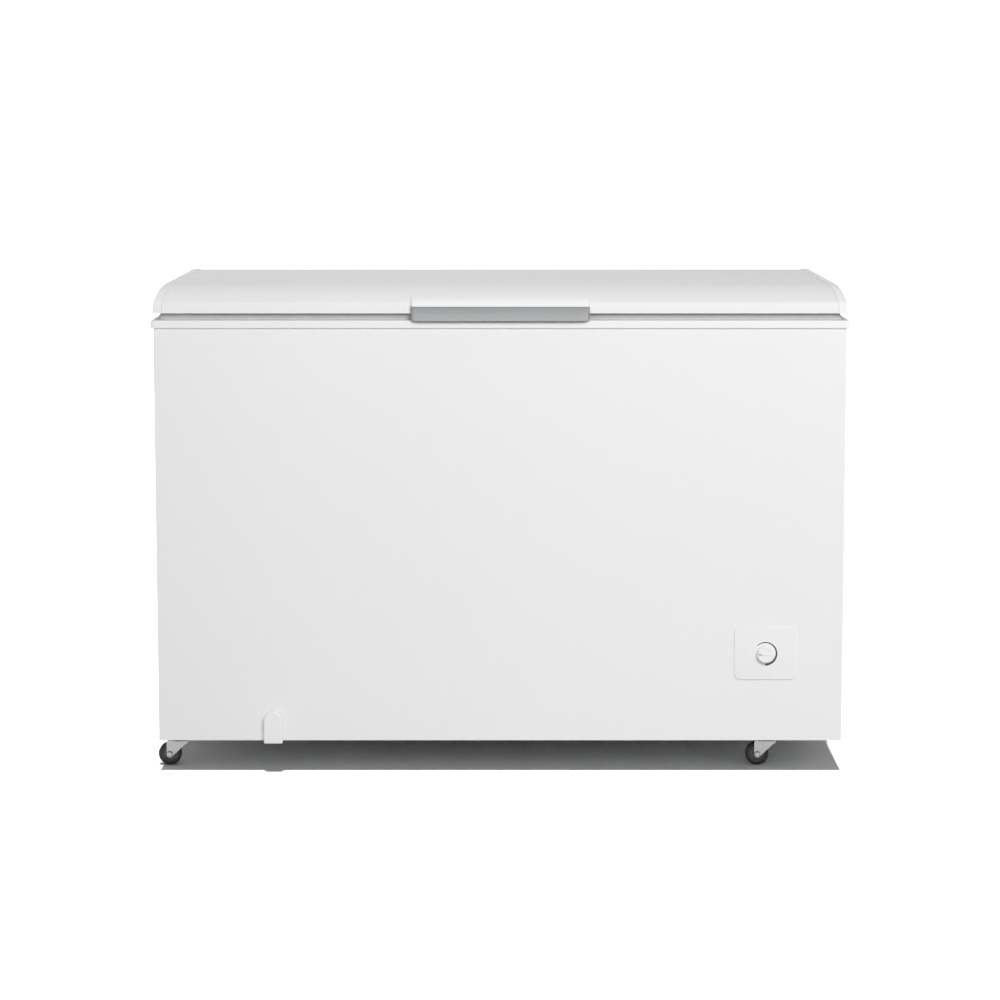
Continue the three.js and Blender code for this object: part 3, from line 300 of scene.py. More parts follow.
def slab(us, vs, low, high, where, gates=(), bores=()):
    """The grids of a plate laid out by where(u, v, w), with w from low to high through its thickness.

    gates are rectangular openings (u0, u1, v0, v1). bores are round ones (u, v, radius, patch): in a square
    patch about the centre, points go in straight lines from the square's edge to the circle.
    """
    split = np.linspace(-1, 1, 9)
    us = [*us, *(e for g in gates for e in g[:2]), *(b[0] + s * b[3] for b in bores for s in split)]
    vs = [*vs, *(e for g in gates for e in g[2:]), *(b[1] + s * b[3] for b in bores for s in split)]
    us, vs = np.unique(np.round(us, 7)), np.unique(np.round(vs, 7))
    keep = np.ones((len(us) - 1, len(vs) - 1), bool)
    mid_u, mid_v = np.meshgrid((us[1:] + us[:-1]) / 2, (vs[1:] + vs[:-1]) / 2, indexing="ij")
    holes = [*gates, *((u - p, u + p, v - p, v + p) for u, v, _, p in bores)]
    for u0, u1, v0, v1 in holes:
        keep &= ~((mid_u > u0) & (mid_u < u1) & (mid_v > v0) & (mid_v < v1))
    grid_u, grid_v = np.meshgrid(us, vs, indexing="ij")
    sheets = [(where(grid_u, grid_v, w), keep) for w in (low, high)]
    through = np.array([[low], [high]])

    def wall(u, v):
        """The plate's thickness along a line of u or v, as one grid."""
        return where(u, v, through)

    for u0, u1, v0, v1 in [(us[0], us[-1], vs[0], vs[-1]), *gates]:
        run_u = us[(us >= u0 - 1e-6) & (us <= u1 + 1e-6)]
        run_v = vs[(vs >= v0 - 1e-6) & (vs <= v1 + 1e-6)]
        sheets += [wall(run_u, v) for v in (v0, v1)] + [wall(u, run_v) for u in (u0, u1)]
    for u, v, radius, patch in bores:
        side = np.concatenate([split[:-1], np.ones(8), -split[:-1], -np.ones(8), [-1]]) * patch
        square = np.stack([side, np.roll(side[:-1], 8)[np.arange(33) % 32]])
        circle = square / np.hypot(*square) * radius
        for w in (low, high):
            rows = [where(u + p[0], v + p[1], w) for p in (square, (square + circle) / 2, circle)]
            sheets.append(np.stack(rows))
        sheets.append(wall(u + circle[0], v + circle[1]))
    return sheets


def white_paint(place):
    """Glossy white enamel: the faint orange peel of a coil coating, and a very faint clouding."""
    peel = place.noise(260, 3, 0.55)
    cloud = place.noise(2.2, 3)
    return {
        "Base Color": cloud.tint(grey(0.80), grey(0.825)),
        "Roughness": place.noise(35, 2).ramp((0, 0.36), (1, 0.46)),
        "Normal": peel.bump(0.06, 0.0004),
        "Coat Weight": 0.06,
        "Coat Roughness": 0.25,
    }


paint = finish("white_paint", white_paint)
wrap_low, wrap_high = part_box("outer_wrapper")
grille_low, grille_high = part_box("side_grille")
dial_low, dial_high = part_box("control_knob")
dial_x, dial_z = (dial_low.x + dial_high.x) / 2, (dial_low.z + dial_high.z) / 2
drain_low, drain_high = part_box("drain_tube")
drain_x = (drain_low.x + drain_high.x) / 2
drain_z = drain_low.z + (drain_high.x - drain_low.x) / 2

bend_x, bend_y = wrap_high.x - WRAPPER_BEND, wrap_low.y + WRAPPER_BEND
side_run, bend_run, front_run = wrap_high.y - bend_y, WRAPPER_BEND * pi / 2, 2 * bend_x
knots = np.cumsum([0, side_run, bend_run, front_run, bend_run, side_run])


def round_the_cabinet(u, v, w):
    """u runs round the sheet from the rear right, v is the height, w is how far out of the sheet.

    The centre of the bend travels in straight lines, and the point is the bend's radius plus w from it.
    """
    centre_x = np.interp(u, knots, [bend_x, bend_x, bend_x, -bend_x, -bend_x, -bend_x])
    centre_y = np.interp(u, knots, [wrap_high.y, bend_y, bend_y, bend_y, bend_y, wrap_high.y])
    turn = np.interp(u, knots, [0, 0, pi / 2, pi / 2, pi, pi])
    reach = WRAPPER_BEND + w
    return points(centre_x + reach * np.cos(turn), centre_y - reach * np.sin(turn), v)


front_start = knots[2]
grille_gate = (
    wrap_high.y - (grille_high.y - GRILLE_LAP), wrap_high.y - (grille_low.y + GRILLE_LAP),
    grille_low.z + GRILLE_LAP, grille_high.z - GRILLE_TOP_LAP,
)
bends = [knots[i] + np.linspace(0, bend_run, 9) for i in (1, 3)]
wrapper = shell(
    "wrapper",
    slab(
        [0, *np.concatenate(bends), knots[-1]], np.linspace(wrap_low.z, wrap_high.z, 5), -SHEET, 0,
        round_the_cabinet, gates=[grille_gate],
        bores=[(front_start + bend_x - dial_x, dial_z, DIAL_BORE, 0.009),
               (front_start + bend_x - drain_x, drain_z, DRAIN_BORE, 0.013)],
    ),
)
fit(wrapper, paint, "white_paint", "cabinet", "outer_wrapper")

# ------------------------------------------------------------------ collar
# White moulded frame that caps the cabinet's top edge. It snaps over the sheet and the liner, hangs a lip
# into the tank, and gives the gasket its seat.

COLLAR_LIP = 0.0023
COLLAR_WALL = 0.004
COLLAR_ROUND = 0.003
TANK_CORNER = 0.025


def rounded(x0, x1, y0, y1, radius, z, steps=8):
    """A rectangle with round corners as one closed loop in (x, y) at a height: four quarter turns."""
    turn = np.arange(4)[:, None] * pi / 2 + np.linspace(0, pi / 2, steps + 1)
    centre_x = np.array([x1 - radius, x0 + radius, x0 + radius, x1 - radius])[:, None]
    centre_y = np.array([y1 - radius, y1 - radius, y0 + radius, y0 + radius])[:, None]
    x, y = centre_x + radius * np.cos(turn), centre_y + radius * np.sin(turn)
    loop = np.stack([x.ravel(), y.ravel(), np.full(x.size, z)], -1)
    return np.concatenate([loop, loop[:1]])


def inset_rings(low, high, corner, steps, steps_round=8):
    """Loops about a box's plan, one for each (inset, height) pair, a corner shrinking with its inset."""
    return np.stack([
        rounded(low.x + i, high.x - i, low.y + i, high.y - i, max(corner - i, 0.0002), z, steps_round)
        for i, z in steps
    ])


def quarter(radius, start, end, steps=5):
    """(cosine, sine) pairs on a circle's arc between two angles in degrees, times its radius."""
    turn = np.radians(np.linspace(start, end, steps))
    return np.stack([radius * np.cos(turn), radius * np.sin(turn)], -1)


def white_plastic(place):
    """Injection moulded ABS: fine spark-eroded grain, a touch glossier where hands have polished it."""
    grain = place.noise(1400, 2)
    hand = place.noise(9, 3)
    return {
        "Base Color": hand.tint(grey(0.815, 0.002), grey(0.84, 0.002)),
        "Roughness": hand.ramp((0.3, 0.34), (0.7, 0.44)),
        "Normal": grain.bump(0.12, 0.0002),
        "Specular IOR Level": 0.45,
    }


plastic = finish("white_plastic", white_plastic)
collar_low, collar_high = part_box("collar_frame")
liner_low, liner_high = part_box("inner_liner")
tank_x = liner_high.x - 0.013
tank_inset = collar_high.x - tank_x
seat_z = collar_high.z - COLLAR_WALL
foot_z = collar_high.z - 0.015
rolled = [(COLLAR_ROUND - a, collar_high.z - COLLAR_ROUND + b) for a, b in quarter(COLLAR_ROUND, 0, 90, 6)]
lip_in = tank_inset + COLLAR_LIP
lip_roll = [(lip_in - 0.002 + a, collar_high.z - 0.002 + b) for a, b in quarter(0.002, 90, 0, 5)]
profile = [
    (0.0008, foot_z), (0.0002, foot_z + 0.0003), (0, foot_z + 0.001), *rolled, *lip_roll,
    (lip_in, collar_low.z + 0.0006), (lip_in - 0.0006, collar_low.z), (tank_inset + 0.0009, collar_low.z),
    (tank_inset + 0.0003, collar_low.z + 0.0006), (tank_inset + 0.0003, seat_z), (0.0047, seat_z),
    (0.0047, foot_z), (0.0008, foot_z),
]
collar_rings = []
for inset, z in profile:
    blend = min(max((inset - 0.02) / (tank_inset - 0.02), 0), 1)
    radius = (0.009 - min(inset, 0.0045)) * (1 - blend) + TANK_CORNER * blend
    collar_rings.append(rounded(
        collar_low.x + inset, collar_high.x - inset,
        collar_low.y + inset, collar_high.y - inset, radius, z, 8,
    ))
collar = shell("collar", [np.stack(collar_rings)])
fit(collar, plastic, "white_plastic", "cabinet", "collar_frame")

# ------------------------------------------------------------------ gasket
# Soft grey PVC strip with a magnet in its foot, in one welded frame. Its dart is pressed into the lid, and
# the bellows between takes up the gap all round.

GASKET_PINCH = 0.0026
GASKET_FOLDS = 2


def gasket_vinyl(place):
    """Matt plasticised PVC, dusted a little, with fine extrusion grain."""
    dust = place.noise(60, 4, 0.6)
    return {
        "Base Color": dust.tint(grey(0.52), grey(0.58)),
        "Roughness": dust.ramp((0.2, 0.62), (0.8, 0.82)),
        "Normal": place.noise(900, 2).bump(0.2, 0.0002),
    }


gasket_low, gasket_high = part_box("lid_gasket")
gasket_width = 0.018
along = np.linspace(0, 1, 17)
heights = gasket_low.z + along * (gasket_high.z - gasket_low.z)
pinch = GASKET_PINCH * np.sin(GASKET_FOLDS * pi * along) ** 2
section = [*zip(pinch, heights, strict=True), *zip(gasket_width - pinch[::-1], heights[::-1], strict=True)]
section.append(section[0])
gasket = shell("gasket", [inset_rings(gasket_low, gasket_high, 0.012, section)], angle=60)
fit(gasket, finish("gasket_vinyl", gasket_vinyl), "gasket_grey", "lid", "lid_gasket")

# ------------------------------------------------------------------ lid skin and end caps
# The lid's top is one painted sheet: upright face, small nose, long shallow arc and flat top. A moulding
# closes each end, stands a little proud of the sheet, and is rounded at its outer edge.

LID_FACE = 0.0185
LID_SLOPE = 0.185
LID_NOSE = 0.010
LID_BACK = 0.012
CAP_PROUD = 0.0012
CAP_ROUND = 0.0035
CAP_WALL = 0.003
skin_low, skin_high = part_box("lid_skin")


def lid_outline(grow, bottom):
    """(y, z) points up the lid's face, over its nose and arc and down its back, moved out by grow.

    The arc is tangent to the flat top and rises by the drop over the slope, so its radius is
    (slope squared + drop squared) / twice the drop; the nose is a small circle inside it and the face.
    """
    drop = skin_high.z - skin_low.z - LID_FACE
    radius = (LID_SLOPE**2 + drop**2) / (2 * drop)
    arc = np.array([skin_low.y + LID_SLOPE, skin_high.z - radius])
    nose_y = skin_low.y + LID_NOSE
    nose = np.array([nose_y, arc[1] + np.sqrt((radius - LID_NOSE) ** 2 - (nose_y - arc[0]) ** 2)])
    meet = np.degrees(np.arctan2(nose[1] - arc[1], nose[0] - arc[0]))
    back = np.array([skin_high.y - LID_BACK, skin_high.z - LID_BACK])
    return np.concatenate([
        [[skin_low.y - grow, bottom]],
        nose + quarter(LID_NOSE + grow, 180, meet, 9),
        arc + quarter(radius + grow, meet, 90, 25)[1:],
        back + quarter(LID_BACK + grow, 90, 0, 9),
        [[skin_high.y + grow, bottom]],
    ])


def across(outlines, xs):
    """(y, z) outlines set out along X: a grid with one row for each x."""
    return np.stack([np.insert(outline, 0, x, axis=1) for outline, x in zip(outlines, xs, strict=True)])


outer, inner = lid_outline(0, skin_low.z), lid_outline(-SHEET, skin_low.z)
ring = np.concatenate([outer, inner[::-1], outer[:1]])
skin_sheets = [across([ring] * 3, (skin_low.x, 0, skin_high.x))]
skin_sheets += [across((outer, inner), (x, x)) for x in (skin_low.x, skin_high.x)]
lid_top = shell("lid_top", skin_sheets)
fit(lid_top, paint, "white_paint", "lid", "lid_skin")

for name, side in (("left", -1), ("right", 1)):
    cap_low, cap_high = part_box(f"lid_end_cap_{name}")
    out_x = cap_high.x if side > 0 else cap_low.x
    in_x = cap_low.x if side > 0 else cap_high.x
    turn = quarter(CAP_ROUND, 0, 90, 7)
    stations = [in_x, *(out_x - side * (CAP_ROUND - turn[:, 1]))]
    grows = [CAP_PROUD, *(CAP_PROUD - CAP_ROUND + turn[:, 0])]
    body = [lid_outline(g, cap_low.z) for g in grows]
    loops = [np.concatenate([b, b[:1]]) for b in body]
    pocket = [lid_outline(-CAP_WALL, cap_low.z + 0.0001)] * 2
    pocket = [np.concatenate([b, b[:1]]) for b in pocket]
    outside = across(loops, stations)
    inside = across(pocket, (in_x, out_x - side * CAP_WALL))
    mouth = np.stack([outside[0], inside[0]])
    cap = shell(f"lid_end_{name}", [outside, inside, mouth], caps=[outside[-1][:-1], inside[-1][:-1]])
    fit(cap, plastic, "white_plastic", "lid", f"lid_end_cap_{name}")

# ------------------------------------------------------------------ handle
# Two mouldings screwed to the lid's front: a white brow that follows the lid, and under it a satin grey
# grip, open behind for the fingers.

HANDLE_CORNER = (0.017, 0.0129)
HANDLE_WALL = 0.003
GRIP_ROUND = 0.0012
BROW_SKIN = 0.0026
BROW_GAP = 0.0003
BROW_FOOT = 0.010


def handle_front(x, inset):
    """The y of the handle's front outline at x: straight, with an elliptic quarter at each end."""
    wide, deep = (h - inset for h in HANDLE_CORNER)
    past = np.clip((np.abs(x) - (grip_high.x - inset - wide)) / wide, 0, 1)
    return grip_low.y + inset + deep * (1 - np.sqrt(1 - past**2))


def grey_grip(place):
    """Satin grey ABS with a soft sheen: fine grain, and its tone clouded a little."""
    grain = place.noise(1100, 2)
    cloud = place.noise(14, 3)
    return {
        "Base Color": cloud.tint((0.312, 0.318, 0.326), (0.342, 0.348, 0.356)),
        "Roughness": cloud.ramp((0.3, 0.30), (0.7, 0.38)),
        "Normal": grain.bump(0.12, 0.0002),
        "Metallic": 0.25,
    }


grip_low, grip_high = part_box("handle_grip")
ends = quarter(1, 90, 0, 13)[:, 0]
span = grip_high.x - HANDLE_CORNER[0]
plan_x = np.concatenate([-span - HANDLE_CORNER[0] * ends[::-1], np.linspace(-span, span, 15)[1:-1],
                         span + HANDLE_CORNER[0] * ends])
leg_back = collar_low.y - 0.0013


def grip_plan(inset, back):
    """The grip's open plan line as (x, y), from the left leg's back round the front to the right leg's."""
    x = plan_x * (grip_high.x - inset) / grip_high.x
    line = np.stack([x, handle_front(x, inset)], -1)
    return np.concatenate([[[line[0, 0], back]], line, [[line[-1, 0], back]]])


def at_height(line, z):
    """A flat line of points set at one height."""
    return np.insert(line, 2, z, axis=1)


rim = [(GRIP_ROUND - a, b - GRIP_ROUND) for a, b in quarter(GRIP_ROUND, 0, 90, 5)]
outside = [(i, grip_low.z - z) for i, z in rim[::-1]] + [(i, grip_high.z + z) for i, z in rim]
inside = [(HANDLE_WALL, grip_high.z), (HANDLE_WALL, grip_low.z + 0.0004), (HANDLE_WALL - 0.0004, grip_low.z)]
steps = [*outside, *inside, outside[0]]
grip_wall = np.stack([at_height(grip_plan(i, leg_back), z) for i, z in steps])
plate_steps = [(0.0015, grip_high.z - HANDLE_WALL), (0.0015, grip_high.z - 0.0002)]
plate = np.stack([at_height(grip_plan(i, grip_high.y), z) for i, z in plate_steps])
plate = np.concatenate([plate, plate[:, :1]], axis=1)
grip = shell("handle_grip_bar", [grip_wall, plate],
             caps=[grip_wall[:-1, 0], grip_wall[:-1, -1], plate[0, :-1], plate[1, :-1]])
fit(grip, finish("satin_grey", grey_grip), "grey_plastic", "lid", "handle_grip")

brow_low, brow_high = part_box("handle_body")
over = lid_outline(BROW_SKIN, brow_low.z)
under = lid_outline(BROW_GAP, brow_low.z)
meet_z = skin_low.z + LID_FACE + 0.006
start = np.array([grip_low.y + HANDLE_WALL, brow_low.z])
middle = np.array([start[0], brow_low.z + 0.005])
end = np.array([skin_low.y + 0.013, meet_z + 0.0026])
share = np.linspace(0, 1, 13)[:, None]
curve = (1 - share) ** 2 * start + 2 * share * (1 - share) * middle + share**2 * end
back_y = np.linspace(end[0] + 0.004, brow_high.y - 0.0015, 8)


def height_on(outline, y):
    """The height of an outline's upper side at y."""
    climb = outline[1:-10]
    return np.interp(y, climb[:, 0], climb[:, 1])


top_line = np.concatenate([curve, np.stack([back_y, height_on(over, back_y)], -1)])
down_y = np.concatenate([[brow_high.y], back_y[::-1], np.linspace(end[0], skin_low.y + 0.001, 8)])
low_line = np.stack([down_y, height_on(under, down_y)], -1)
foot = np.array([[skin_low.y - BROW_GAP, z] for z in (skin_low.z + BROW_FOOT, brow_low.z)])
tip = np.array([[brow_high.y, height_on(over, np.array([brow_high.y]))[0] - 0.001]])
brow_section = np.concatenate([top_line, tip, low_line, foot, top_line[:1]])


def brow_row(x, shrink):
    """The section at x: its front is held behind the plan outline, and shrink pulls it to the lid."""
    row = brow_section.copy()
    row[:, 0] = np.maximum(row[:, 0], handle_front(np.array(x), 0.0))
    lid_z = height_on(under, row[:, 0])
    row[:, 1] = np.where(row[:, 1] > lid_z, lid_z + (row[:, 1] - lid_z) * shrink, row[:, 1])
    return np.insert(row, 0, x, axis=1)


fine_x = np.concatenate([
    plan_x[plan_x < -span - 1e-6], np.linspace(-span, span, 15), plan_x[plan_x > span + 1e-6],
])
end_fall = np.clip((grip_high.x - np.abs(fine_x)) / 0.0025, 0, 1)
shrinks = np.sqrt(1 - (1 - end_fall) ** 2) * 0.85 + 0.15
brow = shell("handle_brow", [np.stack([brow_row(x, s) for x, s in zip(fine_x, shrinks, strict=True)])],
             caps=[brow_row(fine_x[0], shrinks[0])[:-1], brow_row(fine_x[-1], shrinks[-1])[:-1]], angle=50)
fit(brow, plastic, "white_plastic", "lid", "handle_body")

# ------------------------------------------------------------------ thermostat dial
# A printed plate clipped to the front, and a push-on knob on the thermostat's spindle. The print is a
# dark arc that widens as it turns clockwise, from a little cold to a lot.

PLATE_CORNER = 0.013
PLATE_ROUND = 0.0012
ARC_RADIUS = 0.0216
ARC_THIN, ARC_WIDE = 0.0014, 0.0046
ARC_START, ARC_END = 135.0, -90.0
KNOB_RIBS = 36


def facing_front(grid):
    """A grid made in (x, z, y) turned so that its height runs along Y."""
    return grid[..., [0, 2, 1]]


def printed_plate(place):
    """White moulding with the arc's print: its half width grows with the angle turned from the start."""
    x, z = place.part(0) - dial_x, place.part(2) - dial_z
    radius = place.math("SQRT", x * x + z * z)
    angle = place.math("ARCTAN2", z, x) * (180 / pi)
    turned = (ARC_START - angle) * (1 / (ARC_START - ARC_END))
    wide = (turned * (ARC_WIDE - ARC_THIN) + ARC_THIN) * 0.5
    band = place.math("ABSOLUTE", radius - ARC_RADIUS) < wide
    shown = band * (turned > 0.0) * (turned < 1.0)
    look = white_plastic(place)
    look["Base Color"] = shown.tint(look["Base Color"], grey(0.035))
    look["Roughness"] = look["Roughness"] - shown * 0.08
    return look


plate_low, plate_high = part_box("control_plate")
rim = [(PLATE_ROUND - a, plate_low.y + PLATE_ROUND - b) for a, b in quarter(PLATE_ROUND, 0, 90, 5)]
in_low, in_high = Vector((plate_low.x, plate_low.z, 0)), Vector((plate_high.x, plate_high.z, 0))
plate_rings = facing_front(inset_rings(in_low, in_high, PLATE_CORNER, [(0, plate_high.y), *rim]))
dial_plate = shell("dial_plate", [plate_rings], caps=[plate_rings[0, :-1], plate_rings[-1, :-1]])
fit(dial_plate, finish("printed_plate", printed_plate), "white_plastic", "cabinet", "control_plate")


def turned_about(profile, axis, x, y, z, steps=48, ribs=0, depth=0.0):
    """(radius, distance) points turned about an axis through (x, y, z), the radius waved by ribs."""
    angle = np.linspace(0, 2 * pi, steps + 1)
    radius, far = np.asarray(profile, float).T[:, :, None]
    wave = 1 - depth * (0.5 + 0.5 * np.cos(ribs * angle)) if ribs else 1 + 0 * angle
    waved = radius * wave
    grid = [waved * np.cos(angle), waved * np.sin(angle), far + 0 * angle]
    order = {"x": [2, 0, 1], "y": [0, 2, 1], "z": [0, 1, 2]}[axis]
    return np.stack([grid[i] for i in order], -1) + np.array([x, y, z])


knob_radius = (dial_high.x - dial_low.x) / 2
crown = [(knob_radius - 0.0022 + a, dial_low.y + 0.0022 - b) for a, b in quarter(0.0022, 0, 90, 6)]
knob_profile = [
    (0, dial_high.y), (knob_radius - 0.0006, dial_high.y), (knob_radius, dial_high.y - 0.0006), *crown,
    (knob_radius - 0.0042, dial_low.y + 0.0004), (0.004, dial_low.y + 0.0009), (0, dial_low.y + 0.0009),
]
ridge_long, ridge_wide = knob_radius - 0.002, 0.0022
ridge_steps = [(0, dial_low.y + 0.0022), (0.0002, dial_low.y - 0.0001), (0.0007, dial_low.y - 0.0004)]
ridge_low = Vector((dial_x - ridge_long, dial_z - ridge_wide, 0))
ridge_high = Vector((dial_x + ridge_long * 0.75, dial_z + ridge_wide, 0))
ridge = facing_front(inset_rings(ridge_low, ridge_high, ridge_wide * 0.98, ridge_steps, 6))


def knob_finish(place):
    """The same white moulding, with a dark mark let into the end of the pointer."""
    look = white_plastic(place)
    x, z = place.part(0) - dial_x, place.part(2) - dial_z
    mark = (place.math("ABSOLUTE", z) < 0.0007) * (x < -0.0075) * (place.part(1) < dial_low.y + 0.0001)
    look["Base Color"] = mark.tint(look["Base Color"], grey(0.04))
    return look


knob = shell("dial_knob", [
    turned_about(knob_profile, "y", dial_x, 0, dial_z, 144, KNOB_RIBS, 0.02), ridge,
], caps=[ridge[0, :-1], ridge[-1, :-1]])
fit(knob, finish("knob_white", knob_finish), "white_plastic", "knob", "control_knob")

# ------------------------------------------------------------------ drain cap
# White hood that pushes over the drain's mouth at the foot of the front. Its round top and soft front
# edge are moulded in one with the stub that plugs the tube.

DRAIN_CAP_ROUND = 0.0035
DRAIN_CAP_WALL = 0.0022
DRAIN_CAP_FOOT = 0.003


def arch(inset, y, steps=16):
    """A strip with a round top and small round feet, as a closed loop in (x, z) at a depth y."""
    half, foot, low = cap_half - inset, DRAIN_CAP_FOOT, cap_low.z + inset
    over, round_foot = np.linspace(0, pi, 2 * steps + 1), np.linspace(0, pi / 2, 6)
    top = np.stack([half * np.cos(over), cap_high.z - cap_half + half * np.sin(over)])
    left = np.stack([-half + foot - foot * np.cos(round_foot), low + foot - foot * np.sin(round_foot)])
    right = np.stack([half - foot + foot * np.sin(round_foot), low + foot - foot * np.cos(round_foot)])
    x, z = np.concatenate([top, left, right, top[:, :1]], axis=1)
    return np.stack([x + drain_x, 0 * x + y, z], -1)


cap_low, cap_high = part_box("drain_cap")
cap_half = (cap_high.x - cap_low.x) / 2
cap_back = plate_high.y
front_edge = [
    (DRAIN_CAP_ROUND - a, cap_low.y + DRAIN_CAP_ROUND - b) for a, b in quarter(DRAIN_CAP_ROUND, 0, 90, 7)
]
hood = [arch(i, y) for i, y in [(0, cap_back), *front_edge]]
pocket = [arch(DRAIN_CAP_WALL, y) for y in (cap_back, cap_low.y + DRAIN_CAP_WALL)]
stub_radius = 0.0055
stub = turned_about([(0, cap_high.y), (stub_radius - 0.0006, cap_high.y), (stub_radius, cap_high.y - 0.0008),
                     (stub_radius, cap_low.y + DRAIN_CAP_WALL * 0.6), (0, cap_low.y + DRAIN_CAP_WALL * 0.6)],
                    "y", drain_x, 0, drain_z, 24)
drain_cap = shell("drain_hood", [np.stack(hood), np.stack(pocket), np.stack([hood[0], pocket[0]]), stub],
                  caps=[hood[-1][:-1], pocket[-1][:-1]])
fit(drain_cap, plastic, "white_plastic", "drain_cap", "drain_cap")

tube_radius = (drain_high.x - drain_low.x) / 2
tube_bore = tube_radius - 0.002
tube_mouth = shell("drain_mouth", [turned_about(
    [(tube_radius, drain_low.y + 0.03), (tube_radius, drain_low.y + 0.0006),
     (tube_radius - 0.0006, drain_low.y),
     (tube_bore + 0.0006, drain_low.y), (tube_bore, drain_low.y + 0.0006), (tube_bore, drain_low.y + 0.03),
     (tube_radius, drain_low.y + 0.03)], "y", drain_x, 0, drain_z, 32)])
fit(tube_mouth, plastic, "white_plastic", "cabinet")

# ------------------------------------------------------------------ castors
# Four zinc-plated swivel castors: a pressed top plate with its ball race, a pressed fork on the kingpin,
# and a black wheel on a bolt. Four screws hold each plate up under the base.

TYRE_WIDTH = 0.018
TYRE_ROUND = 0.0045
HUB_RADIUS = 0.0155
HEX_ACROSS = 0.0055
FORK_PLATE = 0.002
TIP_RADIUS = 0.0062
TRAIL = 0.0175
FORK_INSIDE = 0.010
RACE_BORE = 0.0043
WEB_MIDDLE = 0.0045
SCREW_PITCH = (0.0185, 0.0155)


def zinc(place):
    """Bright zinc plate, a little milky: soft clouds in its tone, and hairlines from the rolling."""
    cloud = place.noise(45, 4, 0.6)
    line = place.stretched(1, 1, 9).noise(260, 2)
    return {
        "Base Color": cloud.tint(grey(0.22), (0.31, 0.313, 0.305)),
        "Roughness": cloud.ramp((0.2, 0.26), (0.8, 0.44)),
        "Metallic": 0.92,
        "Normal": line.bump(0.08, 0.0002),
    }


def rubber(place):
    """Black wheel rubber, with grey floor dust worked into its grain."""
    dust = place.noise(120, 4, 0.65)
    return {
        "Base Color": dust.ramp((0.45, 0), (0.8, 1)).tint(grey(0.009), grey(0.034, 0.03)),
        "Roughness": dust.ramp((0.2, 0.55), (0.8, 0.78)),
        "Normal": place.noise(700, 2).bump(0.25, 0.0003),
    }


def hub_plastic(place):
    """Dark grey nylon, semi-matt, with faint flow marks."""
    flow = place.noise(80, 3)
    return {
        "Base Color": flow.tint(grey(0.035), grey(0.06)),
        "Roughness": flow.ramp((0.2, 0.38), (0.8, 0.5)),
        "Normal": place.noise(900, 2).bump(0.1, 0.0002),
    }


zinc_plate, black_rubber = finish("zinc_plate", zinc), finish("black_rubber", rubber)
black_nylon = finish("black_nylon", hub_plastic)


def hexagon(axis, x, y, z, reach, low, high, radius=HEX_ACROSS):
    """A chamfered six-sided head on an axis through (x, y, z), with a washer flange under it."""
    steps = [(0, low), (reach, low), (reach, low + (high - low) * 0.2), (radius, low + (high - low) * 0.3)]
    steps += [(radius, high - (high - low) * 0.15), (radius * 0.86, high), (0, high)]
    return turned_about(steps, axis, x, y, z, 6 if reach <= radius else 12)


def plate_between(outline, low, high, chamfer, flip=lambda grid: grid):
    """A flat plate with a closed outline of (a, b) points, its edges chamfered towards the middle."""
    line = np.asarray(outline, float)
    middle = line[:-1].mean(0)
    pull = (line - middle) * (1 - chamfer / np.abs(line - middle).max())
    steps = [(pull + middle, low), (line, low + chamfer), (line, high - chamfer), (pull + middle, high)]
    rings = flip(np.stack([at_height(loop, height) for loop, height in steps]))
    return [rings], [rings[0, :-1], rings[-1, :-1]]


